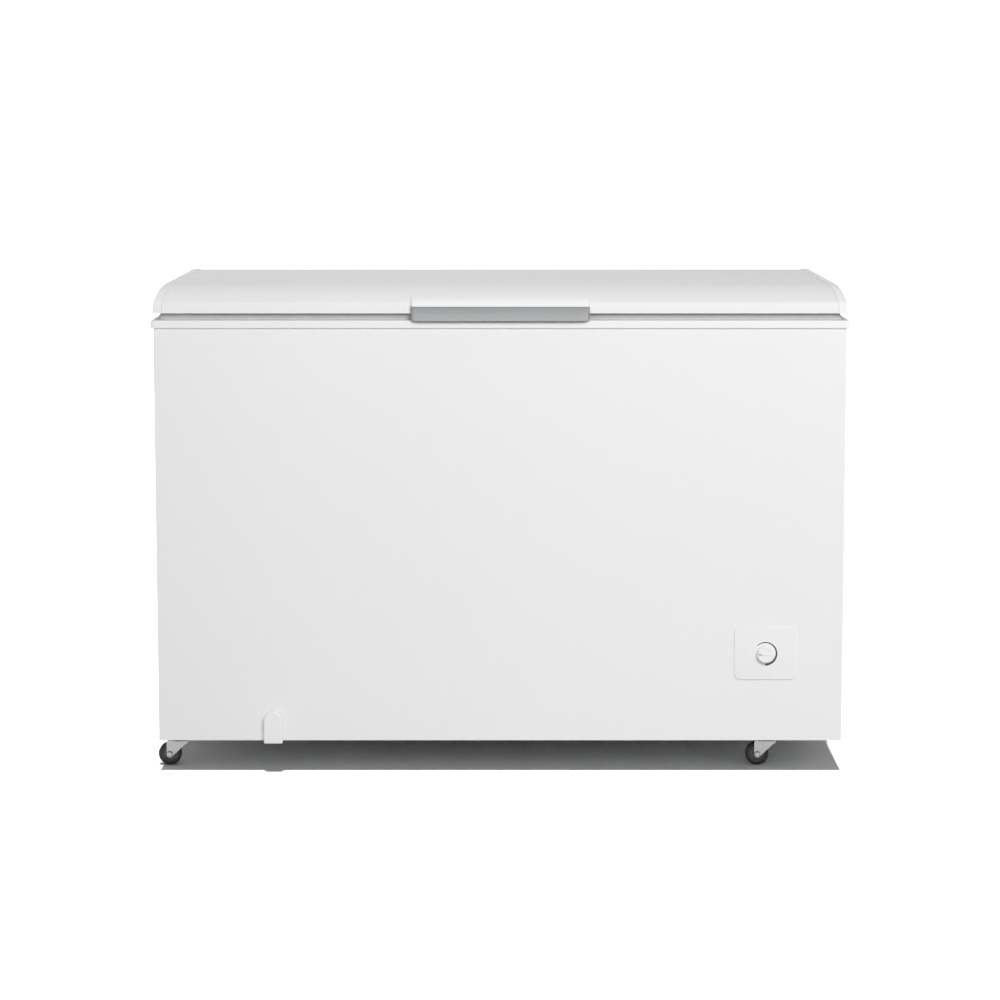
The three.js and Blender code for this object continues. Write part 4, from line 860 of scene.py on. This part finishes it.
for place_name in ("front_left", "front_right", "rear_left", "rear_right"):
    wheel_low, wheel_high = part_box(f"castor_wheel_{place_name}")
    plate_low, plate_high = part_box(f"castor_plate_{place_name}")
    fork_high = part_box(f"castor_fork_{place_name}")[1]
    axle_low, axle_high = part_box(f"castor_axle_{place_name}")
    axle_x, pin_y = (axle_low.x + axle_high.x) / 2, (wheel_low.y + wheel_high.y) / 2
    pin_x, reach = axle_x + TRAIL, (wheel_high.z - wheel_low.z) / 2
    at_axle = (axle_x, pin_y, reach)

    half = TYRE_WIDTH / 2
    tread = [(reach - TYRE_ROUND + a, half - TYRE_ROUND + b) for a, b in quarter(TYRE_ROUND, 0, 90, 6)]
    right_half = [*tread, (HUB_RADIUS + 0.0012, half), (HUB_RADIUS, half - 0.0012)]
    tyre_profile = [(a, -b) for a, b in right_half[::-1]] + right_half
    tyre = shell(f"tyre_{place_name}", [turned_about([*tyre_profile, tyre_profile[0]], "y", *at_axle, 64)])
    fit(tyre, black_rubber, "black_rubber", f"castor_wheel_{place_name}", f"castor_wheel_{place_name}")

    rise = [
        (HUB_RADIUS + 0.0003, half - 0.0016), (HUB_RADIUS - 0.0016, half - 0.0014),
        (HUB_RADIUS - 0.0026, half - 0.004), (0.0075, half - 0.004), (0.0068, half - 0.0005),
        (0.0045, half - 0.0002), (0.0043, half - 0.001),
    ]
    hub_profile = [(a, -b) for a, b in rise[::-1]] + rise
    hub_sheets = [turned_about([*hub_profile, hub_profile[0]], "y", *at_axle, 48)]
    hub_caps = []
    for angle in np.arange(6) * pi / 3:
        for side in (-1, 1):
            flat = np.array([
                [0.007, -0.001], [0.0132, -0.0014], [0.0132, 0.0014], [0.007, 0.001], [0.007, -0.001],
            ])
            turn_by = np.array([[np.cos(angle), np.sin(angle)], [-np.sin(angle), np.cos(angle)]])
            web_y = pin_y + side * (half - WEB_MIDDLE)
            web, web_caps = plate_between(
                flat @ turn_by + [at_axle[0], at_axle[2]],
                web_y - 0.0012, web_y + 0.0027 * (side > 0) + 0.0012 * (side < 0), 0.0003, facing_front,
            )
            hub_sheets += web
            hub_caps += web_caps
    hub = shell(f"hub_{place_name}", hub_sheets, hub_caps)
    fit(hub, black_nylon, "black_plastic", f"castor_wheel_{place_name}")

    crown_z = fork_high.z
    boss = [
        (RACE_BORE, crown_z - 0.0025), (0.0195, crown_z - 0.0025), (0.0218, crown_z - 0.0018),
        (0.022, crown_z - 0.0006), (0.0205, crown_z), (RACE_BORE, crown_z), (RACE_BORE, crown_z - 0.0025),
    ]
    fork_sheets, fork_caps = [turned_about(boss, "z", pin_x, pin_y, 0, 40)], []
    tip = quarter(TIP_RADIUS, 180, 330, 9) + [axle_x, reach - 0.001]
    cheek = np.concatenate([
        [[pin_x + 0.018, crown_z - 0.0012], [axle_x - 0.0035, crown_z - 0.0012]],
        [[axle_x - TIP_RADIUS, crown_z - 0.004]], tip,
        [[pin_x + 0.0125, 0.042], [pin_x + 0.018, crown_z - 0.006]],
    ])
    cheek = np.concatenate([cheek, cheek[:1]])
    for side in (-1, 1):
        near, far = sorted((pin_y + side * FORK_INSIDE, pin_y + side * (FORK_INSIDE + FORK_PLATE)))
        part_sheets, part_caps = plate_between(cheek, near, far, 0.0004, facing_front)
        fork_sheets += part_sheets
        fork_caps += part_caps
    fork = shell(f"fork_{place_name}", fork_sheets, fork_caps)
    fit(fork, zinc_plate, "zinc_plate", f"castor_swivel_{place_name}", f"castor_fork_{place_name}")

    bolt = [hexagon("y", *at_axle, 0.0062, 0.0122, 0.0158), hexagon("y", *at_axle, 0.0062, -0.0122, -0.0158)]
    shank = turned_about([(0, -0.013), (0.0039, -0.013), (0.0039, 0.013), (0, 0.013)], "y", *at_axle, 24)
    axle = shell(f"axle_bolt_{place_name}", [*bolt, shank], angle=25)
    fit(axle, zinc_plate, "zinc_plate", f"castor_swivel_{place_name}", f"castor_axle_{place_name}")

    plate_z = plate_high.z
    plate_steps = [
        (0.0004, plate_z - 0.0025), (0, plate_z - 0.0021), (0, plate_z - 0.0004), (0.0004, plate_z),
    ]
    plan = inset_rings(plate_low, plate_high, 0.005, plate_steps)
    race = turned_about([(0, plate_z - 0.002), (0.0168, plate_z - 0.002), (0.0162, plate_z - 0.0042),
                         (0.0142, plate_z - 0.0062), (0.0142, plate_z - 0.0078), (0.0155, plate_z - 0.0096),
                         (0.0150, plate_z - 0.0103), (0, plate_z - 0.0103)], "z", pin_x, pin_y, 0, 40)
    pin = turned_about([(0, plate_z - 0.009), (0.0039, plate_z - 0.009), (0.0039, plate_low.z + 0.0018),
                        (0.0068, plate_low.z + 0.0018), (0.0066, plate_low.z + 0.0006), (0.005, plate_low.z),
                        (0, plate_low.z)], "z", pin_x, pin_y, 0, 24)
    screws = [
        hexagon("z", pin_x + sx * SCREW_PITCH[0], pin_y + sy * SCREW_PITCH[1], 0,
                0.0038, plate_z - 0.0024, plate_z - 0.0056, 0.0032)
        for sx in (-1, 1) for sy in (-1, 1)
    ]
    top_plate = shell(f"top_plate_{place_name}", [plan, race, pin, *screws], [plan[0, :-1], plan[-1, :-1]])
    fit(top_plate, zinc_plate, "zinc_plate", "cabinet", f"castor_plate_{place_name}")

# ------------------------------------------------------------------ hinges
# Two zinc-plated lift-off hinges on the back. Each leaf is screwed on by four pan heads; the straps curl
# round a steel pin that is headed at both ends.

LEAF_CORNER = 0.006
LEAF_CHAMFER = 0.0005
SCREW_RADIUS = 0.0042
SCREW_HEIGHT = 0.0022
SCREW_INSET = (0.011, 0.009)
SCREW_LEVEL = 0.045
LEAF_HALF = 0.035
LEAF_PLATE = 0.003
KNUCKLE_HALF = 0.015
LID_CURL = 0.015
PIN_BORE = 0.0032


def facing_back(grid):
    """A grid made in (x, z, y), its height along +Y."""
    return grid[..., [0, 2, 1]]


def pan_head(x, y, z, radius=SCREW_RADIUS, height=SCREW_HEIGHT):
    """A domed screw head on a face that looks along +Y, with a square driver recess in its middle."""
    dome = [(radius * np.cos(a), height * np.sin(a)) for a in np.radians([0, 20, 40, 58, 72])]
    recess = [(radius * 0.28, height * 0.55), (0, height * 0.5)]
    return turned_about([(0, -0.0002), (radius, -0.0002), *dome, *recess], "y", x, y, z, 20)


def leaf(x0, x1, z0, z1, y0, y1):
    """A flat leaf between two faces in y, its corners rounded and its edges eased; gives grids and caps."""
    eased = [(LEAF_CHAMFER, y0), (0, y0 + LEAF_CHAMFER), (0, y1 - LEAF_CHAMFER), (LEAF_CHAMFER, y1)]
    rings = facing_back(inset_rings(Vector((x0, z0, 0)), Vector((x1, z1, 0)), LEAF_CORNER, eased, 5))
    return [rings], [rings[0, :-1], rings[-1, :-1]]


def strap(outline, x0, x1):
    """A closed (y, z) outline drawn out from x0 to x1, with its two ends closed."""
    line = np.array([*outline, outline[0]])
    rows = across([line, line], (x0, x1))
    return [rows], [rows[0, :-1], rows[1, :-1]]


for place_name in ("left", "right"):
    body_low, body_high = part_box(f"hinge_body_bracket_{place_name}")
    lid_low, lid_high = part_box(f"hinge_lid_bracket_{place_name}")
    pin_low, pin_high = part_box(f"hinge_pin_{place_name}")
    x, pin_radius = (pin_low.x + pin_high.x) / 2, (pin_high.z - pin_low.z) / 2
    y, z = (pin_low.y + pin_high.y) / 2, (pin_low.z + pin_high.z) / 2
    knuckle = body_high.z - z
    face, front = body_low.y, y - knuckle
    web_z, screw_x = collar_high.z - 0.017, LEAF_HALF - SCREW_INSET[0]
    curl = [
        (PIN_BORE, -KNUCKLE_HALF), (knuckle - 0.0005, -KNUCKLE_HALF), (knuckle, -KNUCKLE_HALF + 0.0005),
        (knuckle, KNUCKLE_HALF - 0.0005), (knuckle - 0.0005, KNUCKLE_HALF), (PIN_BORE, KNUCKLE_HALF),
        (PIN_BORE, -KNUCKLE_HALF),
    ]

    sheets, caps = leaf(body_low.x, body_high.x, body_low.z, web_z, face, face + LEAF_PLATE)
    crank = [
        (face, web_z - LEAF_PLATE), (face, web_z), (front, web_z), (front, z), (front + LEAF_PLATE, z),
        (front + LEAF_PLATE, web_z - 0.001), (front + 0.001, web_z - LEAF_PLATE),
    ]
    strap_sheets, strap_caps = strap(crank, x - KNUCKLE_HALF, x + KNUCKLE_HALF)
    sheets += strap_sheets + [turned_about(curl, "x", x, y, z, 40)]
    caps += strap_caps
    sheets += [pan_head(x + sx * screw_x, face + LEAF_PLATE, level)
               for sx in (-1, 1) for level in (body_low.z + SCREW_INSET[1], body_low.z + SCREW_LEVEL)]
    bracket = shell(f"hinge_body_{place_name}", sheets, caps)
    fit(bracket, zinc_plate, "zinc_plate", "cabinet", f"hinge_body_bracket_{place_name}")

    face = lid_low.y if lid_low.y > skin_high.y else skin_high.y + 0.0003
    leaf_low = z + knuckle + 0.001
    sheets, caps = leaf(lid_low.x, lid_high.x, leaf_low, lid_high.z, face, face + LEAF_PLATE)
    tongue = [
        (face, z), (face, leaf_low + 0.001), (face + LEAF_PLATE, leaf_low + 0.001), (face + LEAF_PLATE, z),
    ]
    clear_of_body = KNUCKLE_HALF + 0.0003
    for side in (-1, 1):
        near, far = sorted((side * clear_of_body, side * (clear_of_body + LID_CURL)))
        end_curl = [(a, near + KNUCKLE_HALF + b if b < 0 else far - KNUCKLE_HALF + b) for a, b in curl]
        sheets.append(turned_about(end_curl, "x", x, y, z, 40))
        strap_sheets, strap_caps = strap(tongue, x + near, x + far)
        sheets += strap_sheets
        caps += strap_caps
    screw_levels = (leaf_low + SCREW_INSET[1] - 0.001, lid_high.z - SCREW_INSET[1] + 0.001)
    sheets += [pan_head(x + sx * screw_x, face + LEAF_PLATE, level)
               for sx in (-1, 1) for level in screw_levels]
    bracket = shell(f"hinge_lid_{place_name}", sheets, caps)
    fit(bracket, zinc_plate, "zinc_plate", "lid", f"hinge_lid_bracket_{place_name}")

    end_x = (pin_high.x - pin_low.x) / 2
    half_pin = [
        (0.003, 0), (0.003, end_x - 0.0021), (pin_radius, end_x - 0.0021), (pin_radius, end_x - 0.001),
        (pin_radius * 0.8, end_x - 0.0002), (0, end_x),
    ]
    pin_profile = [(a, -b) for a, b in half_pin[::-1]] + half_pin[1:]
    pin = shell(f"hinge_rod_{place_name}", [turned_about(pin_profile, "x", x, y, z, 32)])
    fit(pin, zinc_plate, "zinc_plate", "cabinet", f"hinge_pin_{place_name}")

# ------------------------------------------------------------------ back of the cabinet
# Galvanised sheet closes the back, stiffened by long pressed beads. A louvred cover over the compressor
# comes off with six screws, and the supply cord leaves through a black bush.

BEAD_HEIGHT = 0.0016
BEAD_HALF = 0.012
BEAD_REACH = 0.56
BEAD_LEVELS = (0.40, 0.70)
COVER_LAP = 0.012
COVER_CORNER = 0.008
LOUVRE = (0.050, 0.006)
LOUVRE_PITCH = (0.064, 0.016)
LOUVRE_START = (0.014, 0.052)
LOUVRE_HOOD = 0.0032
LOUVRE_FALL = 0.007


def galvanised(place):
    """Hot-dip zinc: grey spangle of flat crystals, each with its own tone, dulled by handling."""
    crystal = place.add("ShaderNodeTexVoronoi", {"feature": "F1"}, {"Vector": place, "Scale": 70.0}, 1)
    tone = crystal.part(0) * 0.6 + place.noise(6, 3) * 0.4
    return {
        "Base Color": tone.tint(grey(0.26), (0.39, 0.40, 0.41)),
        "Roughness": tone.ramp((0.2, 0.34), (0.9, 0.52)),
        "Metallic": 0.85,
        "Normal": place.noise(400, 2).bump(0.08, 0.0002),
    }


zinc_sheet = finish("galvanised", galvanised)
panel_low, panel_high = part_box("rear_panel")
cover_low, cover_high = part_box("rear_cover")
window = (
    cover_low.x + COVER_LAP, cover_high.x - COVER_LAP, cover_low.z + COVER_LAP, cover_high.z - COVER_LAP,
)


def on_the_back(u, v, w):
    """x, z and depth; each bead lifts the sheet by a raised cosine across it, tapered at its two ends."""
    reach = np.clip((BEAD_REACH - np.abs(u)) / 0.02, 0, 1)
    lift = 0
    for level in BEAD_LEVELS:
        bead = np.cos((v - level) / BEAD_HALF * pi / 2) ** 2
        lift = lift + np.where(np.abs(v - level) < BEAD_HALF, bead, 0)
    return points(u, panel_high.y + w + BEAD_HEIGHT * lift * reach, v)


bead_lines = np.concatenate([b + np.linspace(-BEAD_HALF, BEAD_HALF, 9) for b in BEAD_LEVELS])
bead_ends = [s * (BEAD_REACH - t) for s in (-1, 1) for t in (0, 0.007, 0.014, 0.02)]
rear = shell("back_panel", slab(
    [panel_low.x, *bead_ends, panel_high.x], [panel_low.z, *bead_lines, panel_high.z],
    -SHEET, 0, on_the_back, gates=[window],
))
fit(rear, zinc_sheet, "galvanised_steel", "cabinet", "rear_panel")

slots = []
for row in range(8):
    for column in range(3):
        u0 = window[0] + LOUVRE_START[0] + column * LOUVRE_PITCH[0]
        v0 = window[2] + LOUVRE_START[1] + row * LOUVRE_PITCH[1]
        slots.append((u0, u0 + LOUVRE[0], v0, v0 + LOUVRE[1]))


def hoods(u, v, gates, fall, lift):
    """How far the louvres lift the sheet: full at a slot's upper edge, gone a fall above and at its ends."""
    total = 0 * (u + v)
    for u0, u1, _, v1 in gates:
        from_end = np.clip(np.minimum(u - u0, u1 - u) / 0.006, 0, 1)
        above = np.where(v >= v1 - 1e-6, np.clip(1 - (v - v1) / fall, 0, 1), 0)
        total = total + lift * np.sin(from_end * pi / 2) * above**1.5
    return total


def soft_corners(u, v, u0, u1, v0, v1, radius):
    """A rectangle's corner squares drawn in to quarter circles: a to a root(1 - b squared / 2), b alike."""
    middle_u, middle_v = (u0 + u1) / 2, (v0 + v1) / 2
    a = np.clip((np.abs(u - middle_u) - (u1 - u0) / 2 + radius) / radius, 0, 1)
    b = np.clip((np.abs(v - middle_v) - (v1 - v0) / 2 + radius) / radius, 0, 1)
    return (u + np.sign(u - middle_u) * radius * a * (np.sqrt(1 - b * b / 2) - 1),
            v + np.sign(v - middle_v) * radius * b * (np.sqrt(1 - a * a / 2) - 1))


def on_the_cover(u, v, w):
    """x, z and depth, with the plate's corners rounded and each slot's upper edge lifted into a hood."""
    x, z = soft_corners(u, v, cover_low.x, cover_high.x, cover_low.z, cover_high.z, COVER_CORNER)
    return points(x, cover_low.y + w + hoods(u, v, slots, LOUVRE_FALL, LOUVRE_HOOD), z)


hood_lines = [s[3] + t for s in slots[::3] for t in (0.002, 0.0045, LOUVRE_FALL)]
hood_ends = [e for s in slots[:3] for t in (0.002, 0.004, 0.006) for e in (s[0] + t, s[1] - t)]
corner_u = [cover_low.x, cover_high.x, *(cover_low.x + np.linspace(0, COVER_CORNER, 5)),
            *(cover_high.x - np.linspace(0, COVER_CORNER, 5))]
corner_v = [*(cover_low.z + np.linspace(0, COVER_CORNER, 5)),
            *(cover_high.z - np.linspace(0, COVER_CORNER, 5))]
gland_low, gland_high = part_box("cord_gland")
gland_x, gland_z = (gland_low.x + gland_high.x) / 2, (gland_low.z + gland_high.z) / 2
cover = slab([*corner_u, *hood_ends], [*corner_v, *hood_lines], 0, cover_high.y - cover_low.y, on_the_cover,
             gates=slots, bores=[(gland_x, gland_z, 0.0083, 0.011)])
screw_levels = (cover_low.z + 0.011, (cover_low.z + cover_high.z) / 2, cover_high.z - 0.011)
cover += [pan_head(x, cover_high.y, z)
          for x in (cover_low.x + 0.007, cover_high.x - 0.007) for z in screw_levels]
rear_cover = shell("louvred_cover", cover)
fit(rear_cover, zinc_sheet, "galvanised_steel", "cabinet", "rear_cover")

neck, flange = 0.008, (gland_high.x - gland_low.x) / 2
bush = [
    (0.004, gland_low.y), (neck - 0.0004, gland_low.y), (neck, gland_low.y + 0.0006),
    (neck, cover_high.y + 0.0003), (flange - 0.0008, cover_high.y + 0.0003), (flange, cover_high.y + 0.0012),
    (flange - 0.0006, cover_high.y + 0.0036), (neck - 0.001, cover_high.y + 0.0044),
    (neck - 0.0018, gland_high.y - 0.0006), (neck - 0.0026, gland_high.y),
    (0.0046, gland_high.y), (0.004, gland_high.y - 0.0008), (0.004, gland_low.y),
]
gland = shell("cord_bush", [turned_about(bush, "y", gland_x, 0, gland_z, 40)])
fit(gland, black_nylon, "black_plastic", "cabinet", "cord_gland")

# ------------------------------------------------------------------ side grille
# White moulded grille over the compressor's air inlet, snapped into the right side. Two columns of hooded
# slots under a thicker top rail.

GRILLE_SLOT = 0.006
GRILLE_PITCH = 0.015
GRILLE_FACE = 0.0015
GRILLE_END = 0.020
GRILLE_RAIL = 0.017
GRILLE_BAR = 0.006
GRILLE_CORNER = 0.006
grille_middle = (grille_low.y + grille_high.y) / 2
grille_columns = (
    (grille_low.y + GRILLE_END, grille_middle - GRILLE_BAR),
    (grille_middle + GRILLE_BAR, grille_high.y - GRILLE_END),
)
grille_slots = [
    (y0, y1, level, level + GRILLE_SLOT)
    for level in np.arange(grille_low.z + 0.018, grille_high.z - GRILLE_TOP_LAP - GRILLE_SLOT, GRILLE_PITCH)
    for y0, y1 in grille_columns
]


def on_the_side(u, v, w):
    """y, z and depth, with the corners rounded, a thicker rail along the top and a hood over each slot."""
    y, z = soft_corners(u, v, grille_low.y, grille_high.y, grille_low.z, grille_high.z, GRILLE_CORNER)
    rail = np.clip((v - (grille_high.z - GRILLE_RAIL)) / 0.0015, 0, 1)
    rail = rail * np.clip((grille_high.z - v) / 0.001, 0, 1)
    rail = rail * np.clip(np.minimum(u - grille_low.y, grille_high.y - u) / 0.001, 0, 1)
    out = w + (w > 0) * (0.0024 * rail) + hoods(u, v, grille_slots, 0.008, 0.0022)
    return points(grille_low.x + out, y, z)


rail_lines = [grille_high.z - GRILLE_RAIL, grille_high.z - GRILLE_RAIL + 0.0015, grille_high.z - 0.001]
corner_lines = np.linspace(0, GRILLE_CORNER, 5)
edge_us = [*(grille_low.y + corner_lines), *(grille_high.y - corner_lines),
           grille_low.y + 0.001, grille_high.y - 0.001]
edge_vs = [*(grille_low.z + corner_lines), *(grille_high.z - corner_lines), *rail_lines]
slot_us = [e for s in grille_slots[:2] for t in (0.002, 0.004, 0.006) for e in (s[0] + t, s[1] - t)]
slot_vs = [s[3] + t for s in grille_slots[::2] for t in (0.003, 0.006, 0.008)]
grille = shell("air_grille", slab([*edge_us, *slot_us], [*edge_vs, *slot_vs], 0, GRILLE_FACE, on_the_side,
                                  gates=grille_slots), angle=28)
fit(grille, plastic, "white_plastic", "cabinet", "side_grille")

# ------------------------------------------------------------------ liner
# The food tank: stucco-embossed aluminium sheet, folded and lock seamed, with a step over the compressor.
# The refrigerant tubes are taped to its back before foaming.

WALL = 0.065
LINER_EDGE = 0.005
EMBOSS = 0.0005
PLUG_BORE = 0.006
DRAIN_FLAT = 0.014
FLOOR_MARGIN = 0.012
FLANGE_WIDTH = 0.012


def stucco(place):
    """Embossed aluminium: close, rounded pebbles rolled into a white-lacquered sheet, with painted shade in
    the hollows between the pebbles and a painted highlight on their crowns.
    """
    pebble = place.add("ShaderNodeTexVoronoi", {"feature": "SMOOTH_F1"}, {"Vector": place, "Scale": 260.0})
    height = pebble.ramp((0.0, 1), (0.75, 0))
    cloud = place.noise(5, 3)
    return {
        # The tone is half the pebbles' height, which paints shade into the hollows and light onto the crowns,
        # and half random clouding.
        "Base Color": (height * 0.5 + cloud * 0.5).tint(grey(0.68), (0.80, 0.815, 0.83)),
        "Roughness": cloud.ramp((0.2, 0.30), (0.8, 0.42)),
        "Metallic": 0.25,
        "Normal": height.bump(0.55, EMBOSS),
    }


def tank_loop(right, inset, z):
    """The tank's plan at a height, out to x = right, with two extra points where the well's corner begins."""
    loop = rounded(-tank_x + inset, right - inset, tank_low + inset, tank_high - inset,
                   TANK_CORNER - inset, z)
    mark = step_x - TANK_CORNER
    return np.insert(loop, [9, 27], [[mark, tank_high - inset, z], [mark, tank_low + inset, z]], axis=0)


tank_low, tank_high = wrap_low.y + WALL, wrap_high.y - WALL
tank_floor = liner_low.z + SHEET
step_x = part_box("compressor_tray")[0].x - 0.0003 - WALL
step_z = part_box("base_pan")[1].z + WALL
flange = np.stack([tank_loop(tank_x, inset, liner_high.z) for inset in (-FLANGE_WIDTH, 0)])
upper = np.stack([tank_loop(tank_x, 0, z) for z in (liner_high.z, collar_low.z, step_z)])
well = np.stack([tank_loop(step_x, 0, z) for z in (step_z, tank_floor)])
right_part = np.r_[28:39, 1:10]
step = np.stack([upper[-1][right_part], well[0][right_part]])
plug_low, plug_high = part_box("drain_plug")
plug_middle = np.array([(plug_low.x + plug_high.x) / 2, (plug_low.y + plug_high.y) / 2, tank_floor])
margin = tank_loop(step_x, FLOOR_MARGIN, tank_floor)
outward = (margin - plug_middle) / np.linalg.norm(margin - plug_middle, axis=1, keepdims=True)
floor_sheet = np.stack([well[-1], margin, *(plug_middle + r * outward for r in (DRAIN_FLAT, PLUG_BORE))])
liner = shell("tank_liner", [flange, upper, well, floor_sheet, step], closed=False)
edges(liner, LINER_EDGE, 3)
wall = liner.modifiers.new("wall", "SOLIDIFY")
wall.thickness, wall.offset = SHEET, -1
fit(liner, finish("stucco_liner", stucco), "liner_aluminium", "cabinet", "inner_liner")

plug_radius = (plug_high.x - plug_low.x) / 2
plug_profile = [(0, plug_low.z), (0.0048, plug_low.z),
                (0.0056, plug_low.z + 0.001), (0.0056, tank_floor + 0.0003),
                (plug_radius - 0.0008, tank_floor + 0.0003), (plug_radius, tank_floor + 0.0012),
                (plug_radius - 0.0012, plug_high.z - 0.001), (plug_radius - 0.003, plug_high.z - 0.0002),
                (0.0095, plug_high.z - 0.0004), (0.0085, plug_high.z - 0.0018),
                (0.0040, plug_high.z - 0.0018),
                (0.0034, plug_high.z - 0.0002), (0, plug_high.z)]
plug = shell("drain_stopper", [turned_about(plug_profile, "z", *plug_middle[:2], 0, 48)])
fit(plug, black_rubber, "black_rubber", "drain_plug", "drain_plug")

# ------------------------------------------------------------------ lid tray
# The lid's underside: one vacuum-formed white sheet. Its plug fills the tank's mouth, and a shallow panel
# stands down from the plug and keeps it flat.

TRAY_WALL = 0.002
TRAY_CORNER = 0.022
TRAY_EDGE = 0.006
TRAY_DRAFT = 0.0015
TRAY_CLEARANCE = 0.014
PANEL_INSET = 0.045
PANEL_ROUND = 0.006
PANEL_DEPTH = 0.003

tray_low, tray_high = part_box("lid_liner")
tray_x = tank_x - TRAY_CLEARANCE
plug_box = (Vector((-tray_x, tank_low + TRAY_CLEARANCE, 0)), Vector((tray_x, tank_high - TRAY_CLEARANCE, 0)))
rim_z = skin_low.z
down = [(TRAY_DRAFT + TRAY_EDGE - a, tray_low.z + TRAY_EDGE - b) for a, b in quarter(TRAY_EDGE, 0, 90, 7)]
dish = [
    (PANEL_INSET + PANEL_ROUND * (1 - np.cos(t)), tray_low.z - PANEL_DEPTH * np.sin(t))
    for t in np.linspace(0, pi / 2, 6)
]
under = [*dish[::-1], (PANEL_INSET - 0.004, tray_low.z), *down[::-1], (0, rim_z - 0.002), (-0.0015, rim_z)]
tray_rings = [inset_rings(*plug_box, TRAY_CORNER, under)]
outer_rim = [rounded(tray_low.x + i, tray_high.x - i, tray_low.y + i, tray_high.y - i, 0.003, z)
             for i, z in ((0.0004, rim_z), (0, rim_z + 0.0004), (0, rim_z + 0.0015))]
tray_rings.append(np.stack([tray_rings[0][-1], *outer_rim]))
tray = shell("lid_tray", tray_rings, caps=[tray_rings[0][0][:-1][::-1]], closed=False)
wall = tray.modifiers.new("wall", "SOLIDIFY")
wall.thickness, wall.offset = TRAY_WALL - 0.0003, -1


def vacuum_formed(place):
    """Thin high-impact polystyrene: glossy white with faint chill marks from the mould."""
    chill = place.noise(7, 4)
    return {
        "Base Color": chill.tint(grey(0.79), grey(0.82)),
        "Roughness": chill.ramp((0.3, 0.29), (0.7, 0.34)),
        "Normal": place.noise(120, 2).bump(0.05, 0.0004),
    }


fit(tray, finish("vacuum_formed", vacuum_formed), "white_plastic", "lid", "lid_liner")

# ------------------------------------------------------------------ compressor compartment
# A black hermetic compressor on four rubber feet over a pressed tray, with its copper pipework, the
# thermostat and the foam round it all. These stay as packed, or are redone where they are round.

POT_HALF = (0.078, 0.100)


def compressor_paint(place):
    """Black stoving enamel over a drawn steel shell, with a little dust in patches."""
    dust = place.noise(30, 4, 0.6)
    return {
        "Base Color": dust.ramp((0.5, 0), (0.9, 1)).tint(grey(0.012), grey(0.035, 0.02)),
        "Roughness": dust.ramp((0.2, 0.28), (0.8, 0.46)),
        "Normal": place.noise(300, 2).bump(0.08, 0.0003),
    }


def copper(place):
    """Drawn copper tube, tarnished in patches."""
    tarnish = place.noise(55, 4, 0.6)
    return {
        "Base Color": tarnish.tint((0.62, 0.30, 0.17), (0.36, 0.17, 0.10)),
        "Roughness": tarnish.ramp((0.2, 0.25), (0.8, 0.5)),
        "Metallic": 0.95,
        "Normal": place.noise(350, 2).bump(0.08, 0.0002),
    }


def foam(place):
    """Rigid polyurethane foam: pale yellow, browning in patches, with fine closed cells."""
    cell = place.add("ShaderNodeTexVoronoi", {}, {"Vector": place, "Scale": 900.0})
    patch = place.noise(4, 4)
    return {
        "Base Color": patch.tint((0.78, 0.68, 0.38), (0.66, 0.54, 0.27)),
        "Roughness": patch.ramp((0.2, 0.85), (0.8, 0.97)),
        "Normal": cell.bump(0.4, 0.0006),
    }


shell_low, shell_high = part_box("compressor")
shell_x, shell_y = (shell_low.x + shell_high.x) / 2, (shell_low.y + shell_high.y) / 2
base, tall = shell_low.z + 0.002, shell_high.z - shell_low.z - 0.002
dome = [
    (0, 0), (0.050, 0.002), (0.070, 0.011), (0.077, 0.024), (POT_HALF[0], 0.034), (POT_HALF[0], 0.46 * tall),
    (0.0818, 0.465 * tall), (0.0818, 0.505 * tall), (POT_HALF[0], 0.515 * tall), (0.0768, 0.70 * tall),
    (0.0735, 0.80 * tall), (0.066, 0.89 * tall), (0.052, 0.955 * tall), (0.030, 0.99 * tall), (0, tall),
]
pot = turned_about([(a, b + base) for a, b in dome], "z", shell_x, 0, 0, 64)
pot[..., 1] = pot[..., 1] * (POT_HALF[1] / POT_HALF[0]) + shell_y
foot_steps = [(0.0005, 0), (0, 0.0005), (0, 0.0025), (0.0005, 0.003)]
foot_plate = inset_rings(shell_low, shell_high, 0.016, [(i, shell_low.z + z) for i, z in foot_steps])
compressor = shell("compressor_pot", [pot, foot_plate], [foot_plate[0, :-1], foot_plate[-1, :-1]], angle=50)
compressor_black = finish("compressor_black", compressor_paint)
fit(compressor, compressor_black, "compressor_black", "cabinet", "compressor")

for corner in ("front_left", "front_right", "rear_left", "rear_right"):
    low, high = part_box(f"compressor_grommet_{corner}")
    radius, tall = (high.x - low.x) / 2, high.z - low.z
    waist = radius - 0.003
    fold = [
        (0.004, 0), (radius - 0.001, 0), (radius, 0.001), (radius, 0.25 * tall), (waist, 0.34 * tall),
        (waist, 0.42 * tall), (radius, 0.5 * tall), (radius, 0.6 * tall), (waist, 0.68 * tall),
        (waist, 0.78 * tall), (radius - 0.001, 0.85 * tall), (radius - 0.001, tall),
        (0.004, tall), (0.004, 0),
    ]
    middle = (low + high) / 2
    turned = turned_about([(a, b + low.z) for a, b in fold], "z", middle.x, middle.y, 0, 32)
    grommet = shell(f"grommet_{corner}", [turned])
    fit(grommet, black_rubber, "black_rubber", "cabinet", f"compressor_grommet_{corner}")

drawn_copper, yellow_foam = finish("drawn_copper", copper), finish("yellow_foam", foam)
for material, names in (
    (zinc_sheet, ("base_pan", "compressor_tray", "condenser_coil")),
    (yellow_foam, ("foam_insulation", "lid_foam")),
    (drawn_copper, (
        "evaporator_coil", "suction_pipe", "discharge_pipe", "filter_drier", "thermostat_bulb_tube",
    )),
    (black_nylon, ("terminal_cover", "thermostat")),
    (zinc_plate, ("thermostat_spindle",)),
    (plastic, ("drain_tube",)),
):
    for name in names:
        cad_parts[name].material_slots[0].material = material
